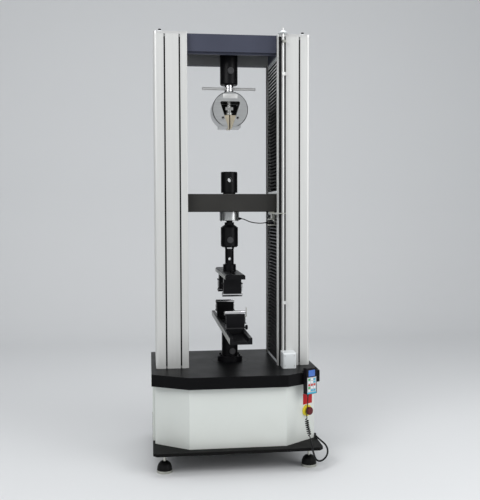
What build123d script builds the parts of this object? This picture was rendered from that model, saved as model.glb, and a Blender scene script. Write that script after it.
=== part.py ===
from build123d import *
import math
import os

# Floor-standing two-column universal testing machine with a four-point bending fixture.
# Millimetres. X to the right, Y to the back, Z up. The load axis is the Z axis; the floor is Z = 0.

# Clearances
GAP = 0.3
FIT = 0.05
PASS = 1.5

# Main levels, stacked from the floor
PLATE_Z = 101.0
PLATE_T = 15.0
CABINET_Z = PLATE_Z + PLATE_T
CABINET_H = 298.0
TABLE_Z = CABINET_Z + CABINET_H
TABLE_T = 58.0
TABLE_TOP = TABLE_Z + TABLE_T
FRAME_CLEAR = 1581.0
BEAM_Z = TABLE_TOP + FRAME_CLEAR
BEAM_H = 86.0
BEAM_TOP = BEAM_Z + BEAM_H
CAP_T = 12.0
CAP_TOP = BEAM_TOP + CAP_T
CROSS_LIFT = 788.0
CROSS_Z = TABLE_TOP + CROSS_LIFT
CROSS_H = 92.0
CROSS_TOP = CROSS_Z + CROSS_H

# Base plate and feet
PLATE_X = 412.0
PLATE_FRONT = -427.0
PLATE_BACK = 293.0
PLATE_CUT = 19.0
FOOT_X = 357.0
FOOT_FRONT = -340.0
FOOT_BACK = 235.0
PAD_R = 37.0
PAD_RIM_H = 12.0
PAD_H = 54.0
PAD_EDGE = 3.0
PAD_TOP_R = 12.0
STUD_R = 6.0
STUD_IN = 12.0
STUD_END_GAP = 1.0
STUD_HOLE_R = STUD_R + 0.5
NUT_R = 12.0
NUT_T = 10.0

# Work table plan
TABLE_X = 417.0
TABLE_FRONT = -412.0
TABLE_BACK = 278.0
TABLE_FLAT_X = 240.0
TABLE_SIDE_Y = -313.0
TABLE_EDGE = 2.0
PASSAGE_R = 32.0

# Cabinet plan
CAB_X = 400.0
CAB_FRONT = -380.0
CAB_FLAT_X = 237.0
CAB_SIDE_Y = -263.0
CAB_RETURN_Y = -215.0
CAB_BACK = 265.0
SHEET = 2.0
PANEL_PROUD = 11.0
PANEL_T = PANEL_PROUD + SHEET
PANEL_FRONT = CAB_RETURN_Y + 3.0
PANEL_BACK = CAB_BACK - SHEET - 1.0
PANEL_TOP_GAP = 5.0
PANEL_R = 1.5
REAR_X = CAB_X - 8.0
LOUVRE_COUNT = 9
LOUVRE_L = 260.0
LOUVRE_W = 8.0
LOUVRE_PITCH = 18.0
LOUVRE_UP = 84.0
PILLAR = 60.0
PILLAR_WALL = 5.0
PILLAR_X = 345.0
PILLAR_FRONT_Y = -170.0
PILLAR_BACK_Y = 165.0

# Columns
COL_IN = 227.0
COL_OUT = 393.0
COL_FRONT = -184.0
COL_BACK = 190.0
COL_WALL = 14.0
COL_SIDE = 8.0
COL_LIP = 4.0
COL_OPEN = 155.0
COL_R = 14.0
COL_INNER_R = 3.0
GROOVES = (38.0, 112.0)
GROOVE_W = 8.0
GROOVE_LIP = 3.0
GROOVE_T_W = 14.0
GROOVE_D = 9.0

# Drive
DRIVE_X = 310.0
SCREW_R = 20.0
SCREW_TAIL = 8.0
SCREW_HEAD = 59.0
POST_R = 25.0
POST_Y = 85.0
PULLEY_R = 62.0
PULLEY_H = 36.0
PULLEY_BELOW = 56.0
PULLEY_TOP = TABLE_Z - PULLEY_BELOW
PULLEY_Z = PULLEY_TOP - PULLEY_H
PULLEY_HOLES = 6
PULLEY_HOLE_R = 10.0
PULLEY_HOLE_AT = 42.0
MOTOR_Y = -130.0
MOTOR_PULLEY_R = 31.0
MOTOR_W = 110.0
MOTOR_R = 10.0
MOTOR_FOOT = 150.0
MOTOR_FOOT_T = 12.0
MOTOR_FLANGE = 130.0
MOTOR_FLANGE_T = 16.0
MOTOR_CLEAR = 18.0
MOTOR_TOP = PULLEY_Z - MOTOR_CLEAR
MOTOR_FINS = 7
FIN_PITCH = 16.0
FIN_W = 7.0
FIN_D = 4.0
FIN_L = 80.0
MOTOR_SHAFT_R = 11.0
MOTOR_SHAFT_DEEP = 32.0
SHAFT_END_GAP = 2.0
BELT_T = 4.5
BELT_W = 30.0
HOUSING_R = 58.0
HOUSING_H = 46.0
HOUSING_FLANGE_R = 72.0
HOUSING_FLANGE_T = 14.0
UNIT_X = 200.0
UNIT_FRONT = 120.0
UNIT_BACK = 240.0
UNIT_H = 174.0
UNIT_R = 6.0
UNIT_VENTS = 11
UNIT_VENT_PITCH = 28.0
UNIT_VENT_W = 12.0
UNIT_VENT_L = 80.0
UNIT_VENT_D = 8.0

# Top beam and crosshead
BEAM_FRONT = -150.0
BEAM_STEP = 1.0
BEAM_WALL = 30.0
BEAM_LIP_UP = 10.0
BEAM_POCKET = 60.0
BEAM_TONGUE_Y = 132.0
BEAM_TONGUE_X = 352.0
CROSS_X = 352.0
CROSS_Y = 125.0
CROSS_EDGE = 4.0
NUT_BODY_R = 36.0
NUT_FLANGE_R = 46.0
NUT_FLANGE_T = 12.0
NUT_BELOW = 24.0
BUSH_R = 34.0
BUSH_OVER = 8.0

# Bellows
BELLOWS_X0 = 234.0
BELLOWS_DEEP = 22.0
BELLOWS_X1 = BELLOWS_X0 + BELLOWS_DEEP
BELLOWS_Y = COL_OPEN - 5.0
BELLOWS_T = 3.0
PLEAT = 18.0

# Socket on the crosshead
COUPLING_R = 43.5
COUPLING_H = 118.0
COUPLING_TOP = CROSS_TOP + COUPLING_H
COUPLING_NECK_R = 33.0
COUPLING_NECK_H = 9.0
COUPLING_EDGE = 3.0
COUPLING_HOLE_R = 12.0
COUPLING_HOLE_DOWN = 43.0
COUPLING_BORE_R = 20.0
COUPLING_BORE_DEEP = 70.0

# Load cell
CELL_R = 51.5
CELL_H = 46.0
CELL_Z = CROSS_Z - CELL_H
CELL_EDGE = 2.0
CELL_HUB_R = 24.0
CELL_GROOVE_R = 40.0
CELL_GROOVE_D = 6.0
CELL_SLOT_W = 11.0
CELL_SLOT_D = 8.0
CELL_SLOT_TURN = 51.0
CELL_LID = 6.0

# Coupling under the load cell
SOCKET_NECK_R = 16.5
SOCKET_NECK_H = 9.0
SOCKET_NUT_R = 25.0
SOCKET_NUT_H = 12.0
SOCKET_CONE_H = 15.0
SOCKET_R = 45.5
SOCKET_H = 104.0
SOCKET_TOP = CELL_Z - SOCKET_NECK_H - SOCKET_NUT_H - SOCKET_CONE_H
SOCKET_Z = SOCKET_TOP - SOCKET_H
SOCKET_EDGE = 7.0
SHANK_R = 23.0
SHANK_IN = 86.0
SHANK_END_GAP = 5.0
SOCKET_PIN_UP = 39.0
SOCKET_PIN_Z = SOCKET_Z + SOCKET_PIN_UP
PIN_R = 12.0
PIN_HEAD_R = 16.0
PIN_HEAD_T = 7.0
PIN_TAIL = 6.0
RING_R = 26.0
RING_T = 8.0

# Upper bending head
SHANK_SHOWN = 90.0
COLLAR_TOP = SOCKET_Z - SHANK_SHOWN
COLLAR_R = 34.5
COLLAR_H = 35.0
COLLAR_EDGE = 3.0
SHANK_HOLE_R = 8.0
SHANK_HOLE_UP = 28.0
HEAD_T = 24.0
HEAD_TOP = COLLAR_TOP - COLLAR_H
HEAD_Z = HEAD_TOP - HEAD_T
HEAD_X = 50.0
HEAD_Y = 270.0
HEAD_EDGE = 6.0
HEAD_SLOT_W = 14.0
HEAD_SLOT_IN = 60.0
HEAD_SLOT_OUT = 245.0
ROLLER_R = 12.0
ROLLER_L = 102.0
ROLLER_SEAT = 4.0
ROLLER_LIP = 4.0
LOAD_Y = 125.0
LOAD_DROP = 88.0
LOAD_ROLLER_Z = HEAD_Z - LOAD_DROP
HOLDER_X = 45.0
HOLDER_Y = 21.0
HOLDER_TAPER = 30.0
HOLDER_NUT_R = 13.0
HOLDER_NUT_T = 12.0

# Lower support
SEAT_FLANGE_R = 66.0
SEAT_FLANGE_T = 26.0
SEAT_EDGE = 3.0
SEAT_R = 42.5
SEAT_H = 169.0
SEAT_TURN = 12.0
SEAT_PIN_UP = 54.0
SUPPORT_Z = TABLE_TOP + SEAT_H
SUPPORT_H = 31.0
SUPPORT_TOP = SUPPORT_Z + SUPPORT_H
SUPPORT_X = 53.0
SUPPORT_Y = 497.0
SUPPORT_EDGE = 1.5
RAIL_W = 17.0
CHANNEL_X = SUPPORT_X - RAIL_W
CHANNEL_D = 19.0
REST_Y = 250.0
REST_RISE = 84.0
REST_ROLLER_Z = SUPPORT_TOP + REST_RISE
REST_X = 46.0
REST_FOOT_Y = 24.0
REST_FOOT_H = 8.0
REST_SLOPE_H = 5.0
REST_WEB_Y = 19.0
REST_TAPER = 10.0
KEY_END_GAP = 2.0

# Upper grip
ADAPTER_R = 46.0
ADAPTER_H = 132.0
ADAPTER_Z = BEAM_Z - ADAPTER_H
ADAPTER_EDGE = 5.0
ADAPTER_TURN = 6.0
ADAPTER_BORE = 119.0
ADAPTER_BORE_TOP = ADAPTER_Z + ADAPTER_BORE
GRIP_PIN_UP = 69.0
GRIP_PIN_HEAD_R = 17.0
NECK_R = 24.0
NECK_H = 31.0
NECK_Z = ADAPTER_Z - NECK_H
NECK_SHANK_R = 20.0
NECK_BORE_DEEP = 54.0
SPINDLE_R = 12.0
SPINDLE_END_GAP = 6.0
BAR_UP = 13.0
BAR_Z = NECK_Z + BAR_UP
BAR_R = 7.0
BAR_L = 280.0
BAR_EDGE = 1.5
BAR_SWING = 30.0
GRIP_R = 93.0
GRIP_BOSS_SHOWN = 9.0
GRIP_DROP = GRIP_R + GRIP_BOSS_SHOWN
GRIP_Z = NECK_Z - GRIP_DROP
GRIP_Y = 66.0
GRIP_EDGE = 4.0
GRIP_CUT = 10.0
GRIP_FLAT = GRIP_R - GRIP_CUT
GRIP_BOTTOM = GRIP_Z - GRIP_FLAT
GRIP_BOSS_R = NECK_R
GRIP_BOSS_IN = 8.0
GRIP_BACK_T = 14.0
GRIP_FOOT_X = 55.0
GRIP_FOOT_H = 8.0
GRIP_FOOT_IN = 14.0
WINDOW_RIM = 51.0
WINDOW_UP = GRIP_R - WINDOW_RIM
WINDOW_TOP = GRIP_Z + WINDOW_UP
WINDOW_TOP_X = 54.0
WINDOW_LOW_X = 13.5
WINDOW_R = 8.0
JAW_OUT = 13.0
JAW_SHARE = 0.56
JAW_H = JAW_SHARE * (WINDOW_TOP - GRIP_BOTTOM)
JAW_TOP = GRIP_BOTTOM - JAW_OUT + JAW_H
JAW_X = 3.0
JAW_Y = 40.0
CARRIER_HEAD_R = 21.0
CARRIER_HEAD_H = 21.0
CARRIER_EDGE = 5.0
CARRIER_NECK_R = 15.0
CARRIER_NECK_H = 7.0
CARRIER_NUT_X = 20.0
CARRIER_NUT_H = 16.0
CARRIER_FLOOR = 5.0

# Limit rod, switch box and cable duct on the right column
ROD_X = 252.0
ROD_Y = -203.0
ROD_R = 4.0
ROD_OVER = 27.0
ROD_TOP = CAP_TOP + ROD_OVER
ROD_IN_BOX = 30.0
GUIDE_DOWN = 35.0
GUIDE_H = 12.0
GUIDE_FRONT = 10.0
GUIDE_RIGHT = 13.0
UPPER_STOP_DOWN = 111.0
LOWER_STOP_UP = 318.0
STOP_R = 8.0
STOP_H = 16.0
STOP_EAR_X = 16.0
STOP_EAR_Y = 5.0
BOX_X0 = 241.0
BOX_W = 68.0
BOX_D = 78.0
BOX_H = 78.0
BOX_EDGE = 8.0
BOX_WALL = 4.0
BOX_X1 = BOX_X0 + BOX_W
BOX_FRONT = COL_FRONT - BOX_D
BOX_TOP = TABLE_TOP + BOX_H
DUCT_X0 = 233.0
DUCT_W = 14.0
DUCT_T = 5.0
DUCT_TOP_GAP = 2.0

# Finger that meets the stops, and bracket for the cell's cable
FINGER_DOWN = 10.0
FINGER_T = 4.0
FINGER_X0 = 196.0
FINGER_W = 26.0
FINGER_RIM = 11.0
FINGER_LUG_IN = 6.0
FINGER_LUG_L = 24.0
CABLE_R = 2.6
BRACKET_X1 = BELLOWS_X0 - 2.0
BRACKET_Y = -64.0
BRACKET_W = 40.0
BRACKET_BLOCK_W = 18.0
BRACKET_BLOCK_H = 36.0
BRACKET_TRAY_W = 34.0
BRACKET_TRAY_T = 6.0
BRACKET_TRAY_GAP = 24.0
CABLE_ROUTE = ((CELL_R, 0, -36), (69, 0, -36), (87, -8, -43), (104, -22, -52), (130, -42, -58),
               (160, -58, -60), (180, -64, -57), (196, -64, -57))
CABLE_POINTS = [(x, y, CROSS_Z + z) for x, y, z in CABLE_ROUTE]
CONNECTOR_R = 8.0
CONNECTOR_L = 30.0

# Handset on the right front corner of the table
HAND_S = 128.0
HAND_W = 66.0
HAND_T = 25.0
HAND_H = 129.0
HAND_ABOVE = 23.0
HAND_TOP = TABLE_TOP + HAND_ABOVE
HAND_MID = HAND_TOP - HAND_H / 2
HAND_R = 5.0
HOOK_W = 34.0
HOOK_T = 4.0
HOOK_L = 34.0
HOOK_IN = 6.0
SCREEN_W = 42.0
SCREEN_H = 32.0
SCREEN_DOWN = 26.0
SCREEN_T = 0.8
SCREEN_RECESS = 1.0
SCREEN_EDGE = 0.1
KEY_COLS = 3
KEY_ROWS = 5
KEY_W = 13.0
KEY_H = 9.5
KEY_R = 2.0
KEY_T = 1.6
KEY_PITCH_X = 17.0
KEY_PITCH_Z = 13.5
KEY_DOWN = 56.0

# Emergency stop on the right front corner of the cabinet
STOP_S = 142.0
STOP_UP = 151.0
STOP_Z = CABINET_Z + STOP_UP
STOP_RING_R = 28.0
STOP_RING_T = 10.0
STOP_STEM_R = 11.0
STOP_BARREL_WALL = 3.0
STOP_BARREL_R = STOP_STEM_R + STOP_BARREL_WALL
STOP_BARREL_L = 30.0
STOP_STEM_DEEP = 16.0
STOP_HEAD_R = 19.5
STOP_HEAD_T = 15.0
STOP_HEAD_EDGE = 5.0
STOP_TRAVEL = 5.0
STOP_REST_GAP = 1.0

# Handset cord and its elbow plug
CORD_R = 2.4
COIL_R = 10.5
HAND_BOTTOM = HAND_TOP - HAND_H
LEAD_ROUTE = ((346, -365.4, 0), (346, -365.4, -22), (342, -376, -52), (336, -390, -81), (333, -400, -103))
COIL_ROUTE = ((333, -400, -103), (332, -408, -135), (337, -416, -163), (344, -425, -200))
TAIL_ROUTE = ((351, -434, 31), (357, -437, -1), (365, -436, -29), (379, -431, -49), (400, -420, -55),
              (424, -402, -49), (443, -378, -35), (450, -350, -18), (445, -323, -4), (430, -303, 7),
              (417, -287, 17), (409, -271, 23), (409, -255, 23))
LEAD_POINTS = [(x, y, HAND_BOTTOM + z) for x, y, z in LEAD_ROUTE]
COIL_POINTS = [(x, y, HAND_BOTTOM + z) for x, y, z in COIL_ROUTE]
TAIL_POINTS = COIL_POINTS[-1:] + [(x, y, PLATE_Z + z) for x, y, z in TAIL_ROUTE]
PLUG_X = 409.0
PLUG_Y = -238.0
PLUG_UP = 23.0
PLUG_Z = PLATE_Z + PLUG_UP
PLUG_R = 7.5
PLUG_NECK_R = 5.5
PLUG_NECK_L = 17.0
PLUG_OVER = 7.0


def box(x0, x1, y0, y1, z0, z1):
    size = Box(x1 - x0, y1 - y0, z1 - z0)
    return Pos((x0 + x1) / 2, (y0 + y1) / 2, (z0 + z1) / 2) * size


def rod(x, y, z0, z1, radius):
    return Pos(x, y, (z0 + z1) / 2) * Cylinder(radius, z1 - z0)


def rod_x(y, z, x0, x1, radius):
    return Pos((x0 + x1) / 2, y, z) * Rot(0, 90, 0) * Cylinder(radius, x1 - x0)


def rod_y(x, z, y0, y1, radius):
    return Pos(x, (y0 + y1) / 2, z) * Rot(90, 0, 0) * Cylinder(radius, y1 - y0)


def prism(points, z0, z1):
    face = make_face(Polyline(*points, close=True))
    return Pos(0, 0, z0) * extrude(face, z1 - z0, dir=(0, 0, 1))


def prism_x(points, x0, x1):
    wire = Polyline(*[(x0, y, z) for y, z in points], close=True)
    return extrude(make_face(wire), x1 - x0, dir=(1, 0, 0))


def prism_y(points, y0, y1):
    wire = Polyline(*[(x, y0, z) for x, z in points], close=True)
    return extrude(make_face(wire), y1 - y0, dir=(0, 1, 0))


def turned(points, x=0, y=0):
    wire = Polyline(*[(r, 0, z) for r, z in points], close=True)
    return Pos(x, y, 0) * revolve(make_face(wire), Axis.Z, 360)


def group(solids):
    return Compound(children=list(solids))


def both_sides(solid):
    return group([mirror(solid, Plane.YZ), solid])


def corner_frame(start, end, s, offset, z):
    dx, dy = end[0] - start[0], end[1] - start[1]
    length = math.hypot(dx, dy)
    along = (dx / length, dy / length)
    out = (along[1], -along[0])
    origin = (start[0] + along[0] * s + out[0] * offset, start[1] + along[1] * s + out[1] * offset, z)
    return Plane(origin=origin, x_dir=(along[0], along[1], 0), z_dir=(out[0], out[1], 0))


def cross_pin(z, radius, head_r, turn):
    pin = rod_y(0, z, -radius - PIN_HEAD_T, radius + PIN_TAIL, PIN_R)
    pin += rod_y(0, z, -radius - PIN_HEAD_T, -radius, head_r)
    return Rot(0, 0, turn) * pin


def cross_hole(z, radius, hole_r, turn):
    return Rot(0, 0, turn) * rod_y(0, z, -2 * radius, 2 * radius, hole_r)


TABLE_CORNER = ((TABLE_FLAT_X, TABLE_FRONT), (TABLE_X, TABLE_SIDE_Y))
CAB_CORNER = ((CAB_FLAT_X, CAB_FRONT), (CAB_X, CAB_SIDE_Y))


# Base


def base_plate():
    x, c = PLATE_X, PLATE_CUT
    f, b = PLATE_FRONT, PLATE_BACK
    right = [(x - c, f), (x, f + c), (x, b - c), (x - c, b)]
    left = [(-px, py) for px, py in reversed(right)]
    plate = prism(right + left, PLATE_Z, CABINET_Z)
    for fx, fy in foot_spots():
        plate -= rod(fx, fy, PLATE_Z, PLATE_Z + STUD_IN + STUD_END_GAP, STUD_HOLE_R)
    return plate


def foot_spots():
    return [(sx * FOOT_X, fy) for fy in (FOOT_FRONT, FOOT_BACK) for sx in (-1, 1)]


def foot_pad(x, y):
    rise = PAD_H - PAD_RIM_H
    span = PAD_R - PAD_TOP_R
    shape = [(0, 0), (PAD_R - PAD_EDGE, 0), (PAD_R, PAD_EDGE), (PAD_R, PAD_RIM_H)]
    for share in (0.25, 0.5, 0.75, 1.0):
        angle = math.pi / 2 * share
        shape.append((PAD_TOP_R + span * math.cos(angle), PAD_RIM_H + rise * math.sin(angle)))
    return turned(shape + [(0, PAD_H)], x, y)


def foot_stud(x, y):
    stud = rod(x, y, PAD_H, PLATE_Z + STUD_IN, STUD_R)
    hexagon = extrude(RegularPolygon(NUT_R, 6), NUT_T)
    return stud + Pos(x, y, PLATE_Z - NUT_T) * hexagon


def cover_outline(inset):
    plan = [(-CAB_X, CAB_SIDE_Y), (-CAB_FLAT_X, CAB_FRONT), (CAB_FLAT_X, CAB_FRONT), (CAB_X, CAB_SIDE_Y)]
    slant = math.atan2(CAB_SIDE_Y - CAB_FRONT, CAB_X - CAB_FLAT_X)
    side = inset * math.tan(math.pi / 4 - slant / 2)
    flat = inset * math.tan(slant / 2)
    moves = [(inset, side), (flat, inset), (-flat, inset), (-inset, side)]
    return [(x + dx, y + dy) for (x, y), (dx, dy) in zip(plan, moves)]


def front_cover():
    outer = [(-CAB_X, CAB_RETURN_Y)] + cover_outline(0) + [(CAB_X, CAB_RETURN_Y)]
    inner = [(-CAB_X + SHEET, CAB_RETURN_Y)] + cover_outline(SHEET) + [(CAB_X - SHEET, CAB_RETURN_Y)]
    cover = prism(outer + inner[::-1], CABINET_Z, TABLE_Z)
    plane = corner_frame(*CAB_CORNER, STOP_S, 0, STOP_Z)
    return cover - extrude(plane * Circle(STOP_BARREL_R + GAP), 4 * SHEET, both=True)


def side_panel():
    x1 = CAB_X + PANEL_PROUD
    x0, skin = x1 - PANEL_T, x1 - SHEET
    f, b, top = PANEL_FRONT, PANEL_BACK, TABLE_Z - PANEL_TOP_GAP
    panel = box(x0, x1, f, b, CABINET_Z, top)
    panel = fillet(panel.edges().filter_by(Axis.Z).group_by(Axis.X)[-1], PANEL_R)
    return panel - box(x0, skin, f + SHEET, b - SHEET, CABINET_Z + SHEET, top - SHEET)


def rear_panel():
    panel = box(-REAR_X, REAR_X, CAB_BACK - SHEET, CAB_BACK, CABINET_Z, TABLE_Z)
    half = LOUVRE_L / 2
    for i in range(LOUVRE_COUNT):
        z = CABINET_Z + LOUVRE_UP + i * LOUVRE_PITCH
        panel -= box(-half, half, CAB_BACK - 2 * SHEET, CAB_BACK + SHEET, z, z + LOUVRE_W)
    return panel


def pillar(x, y):
    h, i = PILLAR / 2, PILLAR / 2 - PILLAR_WALL
    tube = box(x - h, x + h, y - h, y + h, CABINET_Z, TABLE_Z)
    return tube - box(x - i, x + i, y - i, y + i, CABINET_Z, TABLE_Z)


def pillars():
    spots = [(sx * PILLAR_X, y) for y in (PILLAR_FRONT_Y, PILLAR_BACK_Y) for sx in (-1, 1)]
    return group([pillar(x, y) for x, y in spots])


def work_table():
    outline = [(-TABLE_X, TABLE_BACK), (-TABLE_X, TABLE_SIDE_Y), (-TABLE_FLAT_X, TABLE_FRONT),
               (TABLE_FLAT_X, TABLE_FRONT), (TABLE_X, TABLE_SIDE_Y), (TABLE_X, TABLE_BACK)]
    table = prism(outline, TABLE_Z, TABLE_TOP)
    table = chamfer(table.faces().sort_by(Axis.Z)[-1].edges(), TABLE_EDGE)
    for sx in (-1, 1):
        table -= rod(sx * DRIVE_X, 0, TABLE_Z, TABLE_TOP, PASSAGE_R)
    return table


# Drive


def motor_block(size, z0, z1):
    half = size / 2
    return box(-half, half, MOTOR_Y - half, MOTOR_Y + half, z0, z1)


def servo_motor():
    foot_top = CABINET_Z + MOTOR_FOOT_T
    body = motor_block(MOTOR_W, foot_top, MOTOR_TOP)
    body = fillet(body.edges().filter_by(Axis.Z), MOTOR_R)
    body += motor_block(MOTOR_FOOT, CABINET_Z, foot_top)
    body += motor_block(MOTOR_FLANGE, MOTOR_TOP - MOTOR_FLANGE_T, MOTOR_TOP)
    y0, y1 = MOTOR_Y - FIN_L / 2, MOTOR_Y + FIN_L / 2
    inner, outer = MOTOR_W / 2 - FIN_D, MOTOR_W / 2
    for i in range(MOTOR_FINS):
        z = foot_top + (i + 1) * FIN_PITCH
        body -= box(-outer, -inner, y0, y1, z, z + FIN_W)
        body -= box(inner, outer, y0, y1, z, z + FIN_W)
    floor = MOTOR_TOP - MOTOR_SHAFT_DEEP - SHAFT_END_GAP
    return body - rod(0, MOTOR_Y, floor, MOTOR_TOP, MOTOR_SHAFT_R + FIT)


def motor_pulley():
    pulley = rod(0, MOTOR_Y, PULLEY_Z, PULLEY_TOP, MOTOR_PULLEY_R)
    return pulley + rod(0, MOTOR_Y, MOTOR_TOP - MOTOR_SHAFT_DEEP, PULLEY_TOP + SHAFT_END_GAP, MOTOR_SHAFT_R)


def screw_pulley():
    ring = rod(DRIVE_X, 0, PULLEY_Z, PULLEY_TOP, PULLEY_R)
    for i in range(PULLEY_HOLES):
        a = 2 * math.pi * i / PULLEY_HOLES
        x, y = DRIVE_X + PULLEY_HOLE_AT * math.cos(a), PULLEY_HOLE_AT * math.sin(a)
        ring -= rod(x, y, PULLEY_Z, PULLEY_TOP, PULLEY_HOLE_R)
    return ring - rod(DRIVE_X, 0, PULLEY_Z, PULLEY_TOP, SCREW_R)


def ball_screw():
    return rod(DRIVE_X, 0, PULLEY_Z - SCREW_TAIL, BEAM_Z + SCREW_HEAD, SCREW_R)


def belt_outline(extra):
    spots = [(-DRIVE_X, 0, PULLEY_R), (DRIVE_X, 0, PULLEY_R), (0, MOTOR_Y, MOTOR_PULLEY_R)]
    edges = []
    for x, y, radius in spots:
        edges += (Pos(x, y, 0) * Circle(radius + extra)).edges()
    return make_hull(edges)


def drive_belt():
    loop = belt_outline(GAP + BELT_T) - belt_outline(GAP)
    z = PULLEY_Z + (PULLEY_H - BELT_W) / 2
    return Pos(0, 0, z) * extrude(loop, BELT_W)


def bearing_housing(x):
    housing = rod(x, 0, TABLE_Z - HOUSING_H, TABLE_Z, HOUSING_R)
    housing += rod(x, 0, TABLE_Z - HOUSING_FLANGE_T, TABLE_Z, HOUSING_FLANGE_R)
    return housing - rod(x, 0, TABLE_Z - HOUSING_H, TABLE_Z, SCREW_R + FIT)


def control_unit():
    top = CABINET_Z + UNIT_H
    unit = box(-UNIT_X, UNIT_X, UNIT_FRONT, UNIT_BACK, CABINET_Z, top)
    unit = fillet(unit.edges().filter_by(Axis.Z), UNIT_R)
    mid = (UNIT_FRONT + UNIT_BACK) / 2
    y0, y1 = mid - UNIT_VENT_L / 2, mid + UNIT_VENT_L / 2
    for i in range(UNIT_VENTS):
        x = (i - (UNIT_VENTS - 1) / 2) * UNIT_VENT_PITCH
        half = UNIT_VENT_W / 2
        unit -= box(x - half, x + half, y0, y1, top - UNIT_VENT_D, top)
    return unit


# Columns


def column_outline(z0, z1):
    shape = box(COL_IN, COL_OUT, COL_FRONT, COL_BACK, z0, z1)
    shape = fillet(shape.edges().filter_by(Axis.Z).group_by(Axis.X)[-1], COL_R)
    return fillet(shape.edges().filter_by(Axis.Z).group_by(Axis.X)[0], COL_INNER_R)


def groove(x, face_y, inward, z0, z1):
    mouth, half_t = GROOVE_W / 2, GROOVE_T_W / 2
    lip = face_y + inward * GROOVE_LIP
    deep = face_y + inward * GROOVE_D
    cut = box(x - mouth, x + mouth, min(face_y, lip), max(face_y, lip), z0, z1)
    return cut + box(x - half_t, x + half_t, min(lip, deep), max(lip, deep), z0, z1)


def column():
    z0, z1 = TABLE_TOP, BEAM_TOP
    shape = column_outline(z0, z1)
    shape -= box(COL_IN + COL_LIP, COL_OUT - COL_SIDE, COL_FRONT + COL_WALL, COL_BACK - COL_WALL, z0, z1)
    shape -= box(COL_IN, COL_IN + COL_LIP, -COL_OPEN, COL_OPEN, z0, z1)
    for g in GROOVES:
        shape -= groove(COL_IN + g, COL_FRONT, 1, z0, z1)
        shape -= groove(COL_IN + g, COL_BACK, -1, z0, z1)
    return shape


def guide_posts():
    spots = [(sx * DRIVE_X, sy * POST_Y) for sy in (-1, 1) for sx in (-1, 1)]
    return group([rod(x, y, TABLE_TOP, BEAM_Z, POST_R) for x, y in spots])


def top_beam():
    beam = box(-COL_IN, COL_IN, BEAM_FRONT, COL_BACK, BEAM_Z, CAP_TOP - BEAM_STEP)
    wall_y0, wall_y1 = BEAM_FRONT + BEAM_WALL, COL_BACK - BEAM_WALL
    beam -= box(-COL_IN, COL_IN, BEAM_FRONT, wall_y0, BEAM_Z, BEAM_Z + BEAM_LIP_UP)
    tongue_y = BEAM_TONGUE_Y
    beam += box(-BEAM_TONGUE_X, BEAM_TONGUE_X, -tongue_y, tongue_y, BEAM_Z, BEAM_TOP)
    beam -= box(-COL_IN, COL_IN, wall_y0, wall_y1, BEAM_Z, BEAM_Z + BEAM_POCKET)
    for sx in (-1, 1):
        beam -= rod(sx * DRIVE_X, 0, BEAM_Z, BEAM_Z + SCREW_HEAD + SHAFT_END_GAP, SCREW_R + FIT)
    return beam


def bellows(z0, z1):
    count = round((z1 - z0) / PLEAT)
    step = (z1 - z0) / (2 * count)
    near = []
    for i in range(2 * count + 1):
        x = BELLOWS_X0 if i % 2 == 0 else BELLOWS_X1 - BELLOWS_T
        near.append((x, z0 + i * step))
    far = [(x + BELLOWS_T, z) for x, z in reversed(near)]
    return prism_y(near + far, -BELLOWS_Y, BELLOWS_Y)


# Crosshead and its load train


def crosshead_beam():
    beam = box(-CROSS_X, CROSS_X, -CROSS_Y, CROSS_Y, CROSS_Z, CROSS_TOP)
    beam = chamfer(beam.edges().filter_by(Axis.X), CROSS_EDGE)
    for sx in (-1, 1):
        beam -= rod(sx * DRIVE_X, 0, CROSS_Z, CROSS_TOP, NUT_BODY_R)
        for sy in (-1, 1):
            beam -= rod(sx * DRIVE_X, sy * POST_Y, CROSS_Z, CROSS_TOP, BUSH_R)
    return beam


def ball_nut(x):
    nut = rod(x, 0, CROSS_Z - NUT_BELOW, CROSS_TOP, NUT_BODY_R)
    nut += rod(x, 0, CROSS_Z - NUT_FLANGE_T, CROSS_Z, NUT_FLANGE_R)
    return nut - rod(x, 0, CROSS_Z - NUT_BELOW, CROSS_TOP, SCREW_R + FIT)


def guide_bush(x, y):
    bush = rod(x, y, CROSS_Z - BUSH_OVER, CROSS_TOP + BUSH_OVER, BUSH_R)
    return bush - rod(x, y, CROSS_Z - BUSH_OVER, CROSS_TOP + BUSH_OVER, POST_R + FIT)


def guide_bushes():
    spots = [(sx * DRIVE_X, sy * POST_Y) for sy in (-1, 1) for sx in (-1, 1)]
    return group([guide_bush(x, y) for x, y in spots])


def upper_coupling():
    shoulder = CROSS_TOP + COUPLING_NECK_H
    floor = COUPLING_TOP - COUPLING_BORE_DEEP
    shape = [(0, CROSS_TOP), (COUPLING_NECK_R, CROSS_TOP), (COUPLING_NECK_R, shoulder),
             (COUPLING_R, shoulder), (COUPLING_R, COUPLING_TOP - COUPLING_EDGE),
             (COUPLING_R - COUPLING_EDGE, COUPLING_TOP),
             (COUPLING_BORE_R, COUPLING_TOP), (COUPLING_BORE_R, floor), (0, floor)]
    return turned(shape) - cross_hole(COUPLING_TOP - COUPLING_HOLE_DOWN, COUPLING_R, COUPLING_HOLE_R, 0)


def load_cell():
    r, g = CELL_R, CELL_GROOVE_R
    floor = CELL_Z + CELL_GROOVE_D
    shape = [(0, CELL_Z), (CELL_HUB_R, CELL_Z), (CELL_HUB_R, floor), (g, floor), (g, CELL_Z),
             (r - CELL_EDGE, CELL_Z), (r, CELL_Z + CELL_EDGE), (r, CROSS_Z), (0, CROSS_Z)]
    cell = turned(shape)
    half = CELL_SLOT_W / 2
    slot = box(-half, half, -r - CELL_EDGE, -r + CELL_SLOT_D, CELL_Z, CROSS_Z - CELL_LID)
    for turn in (CELL_SLOT_TURN, -CELL_SLOT_TURN, 180 - CELL_SLOT_TURN, 180 + CELL_SLOT_TURN):
        cell -= Rot(0, 0, turn) * slot
    return cell


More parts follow.
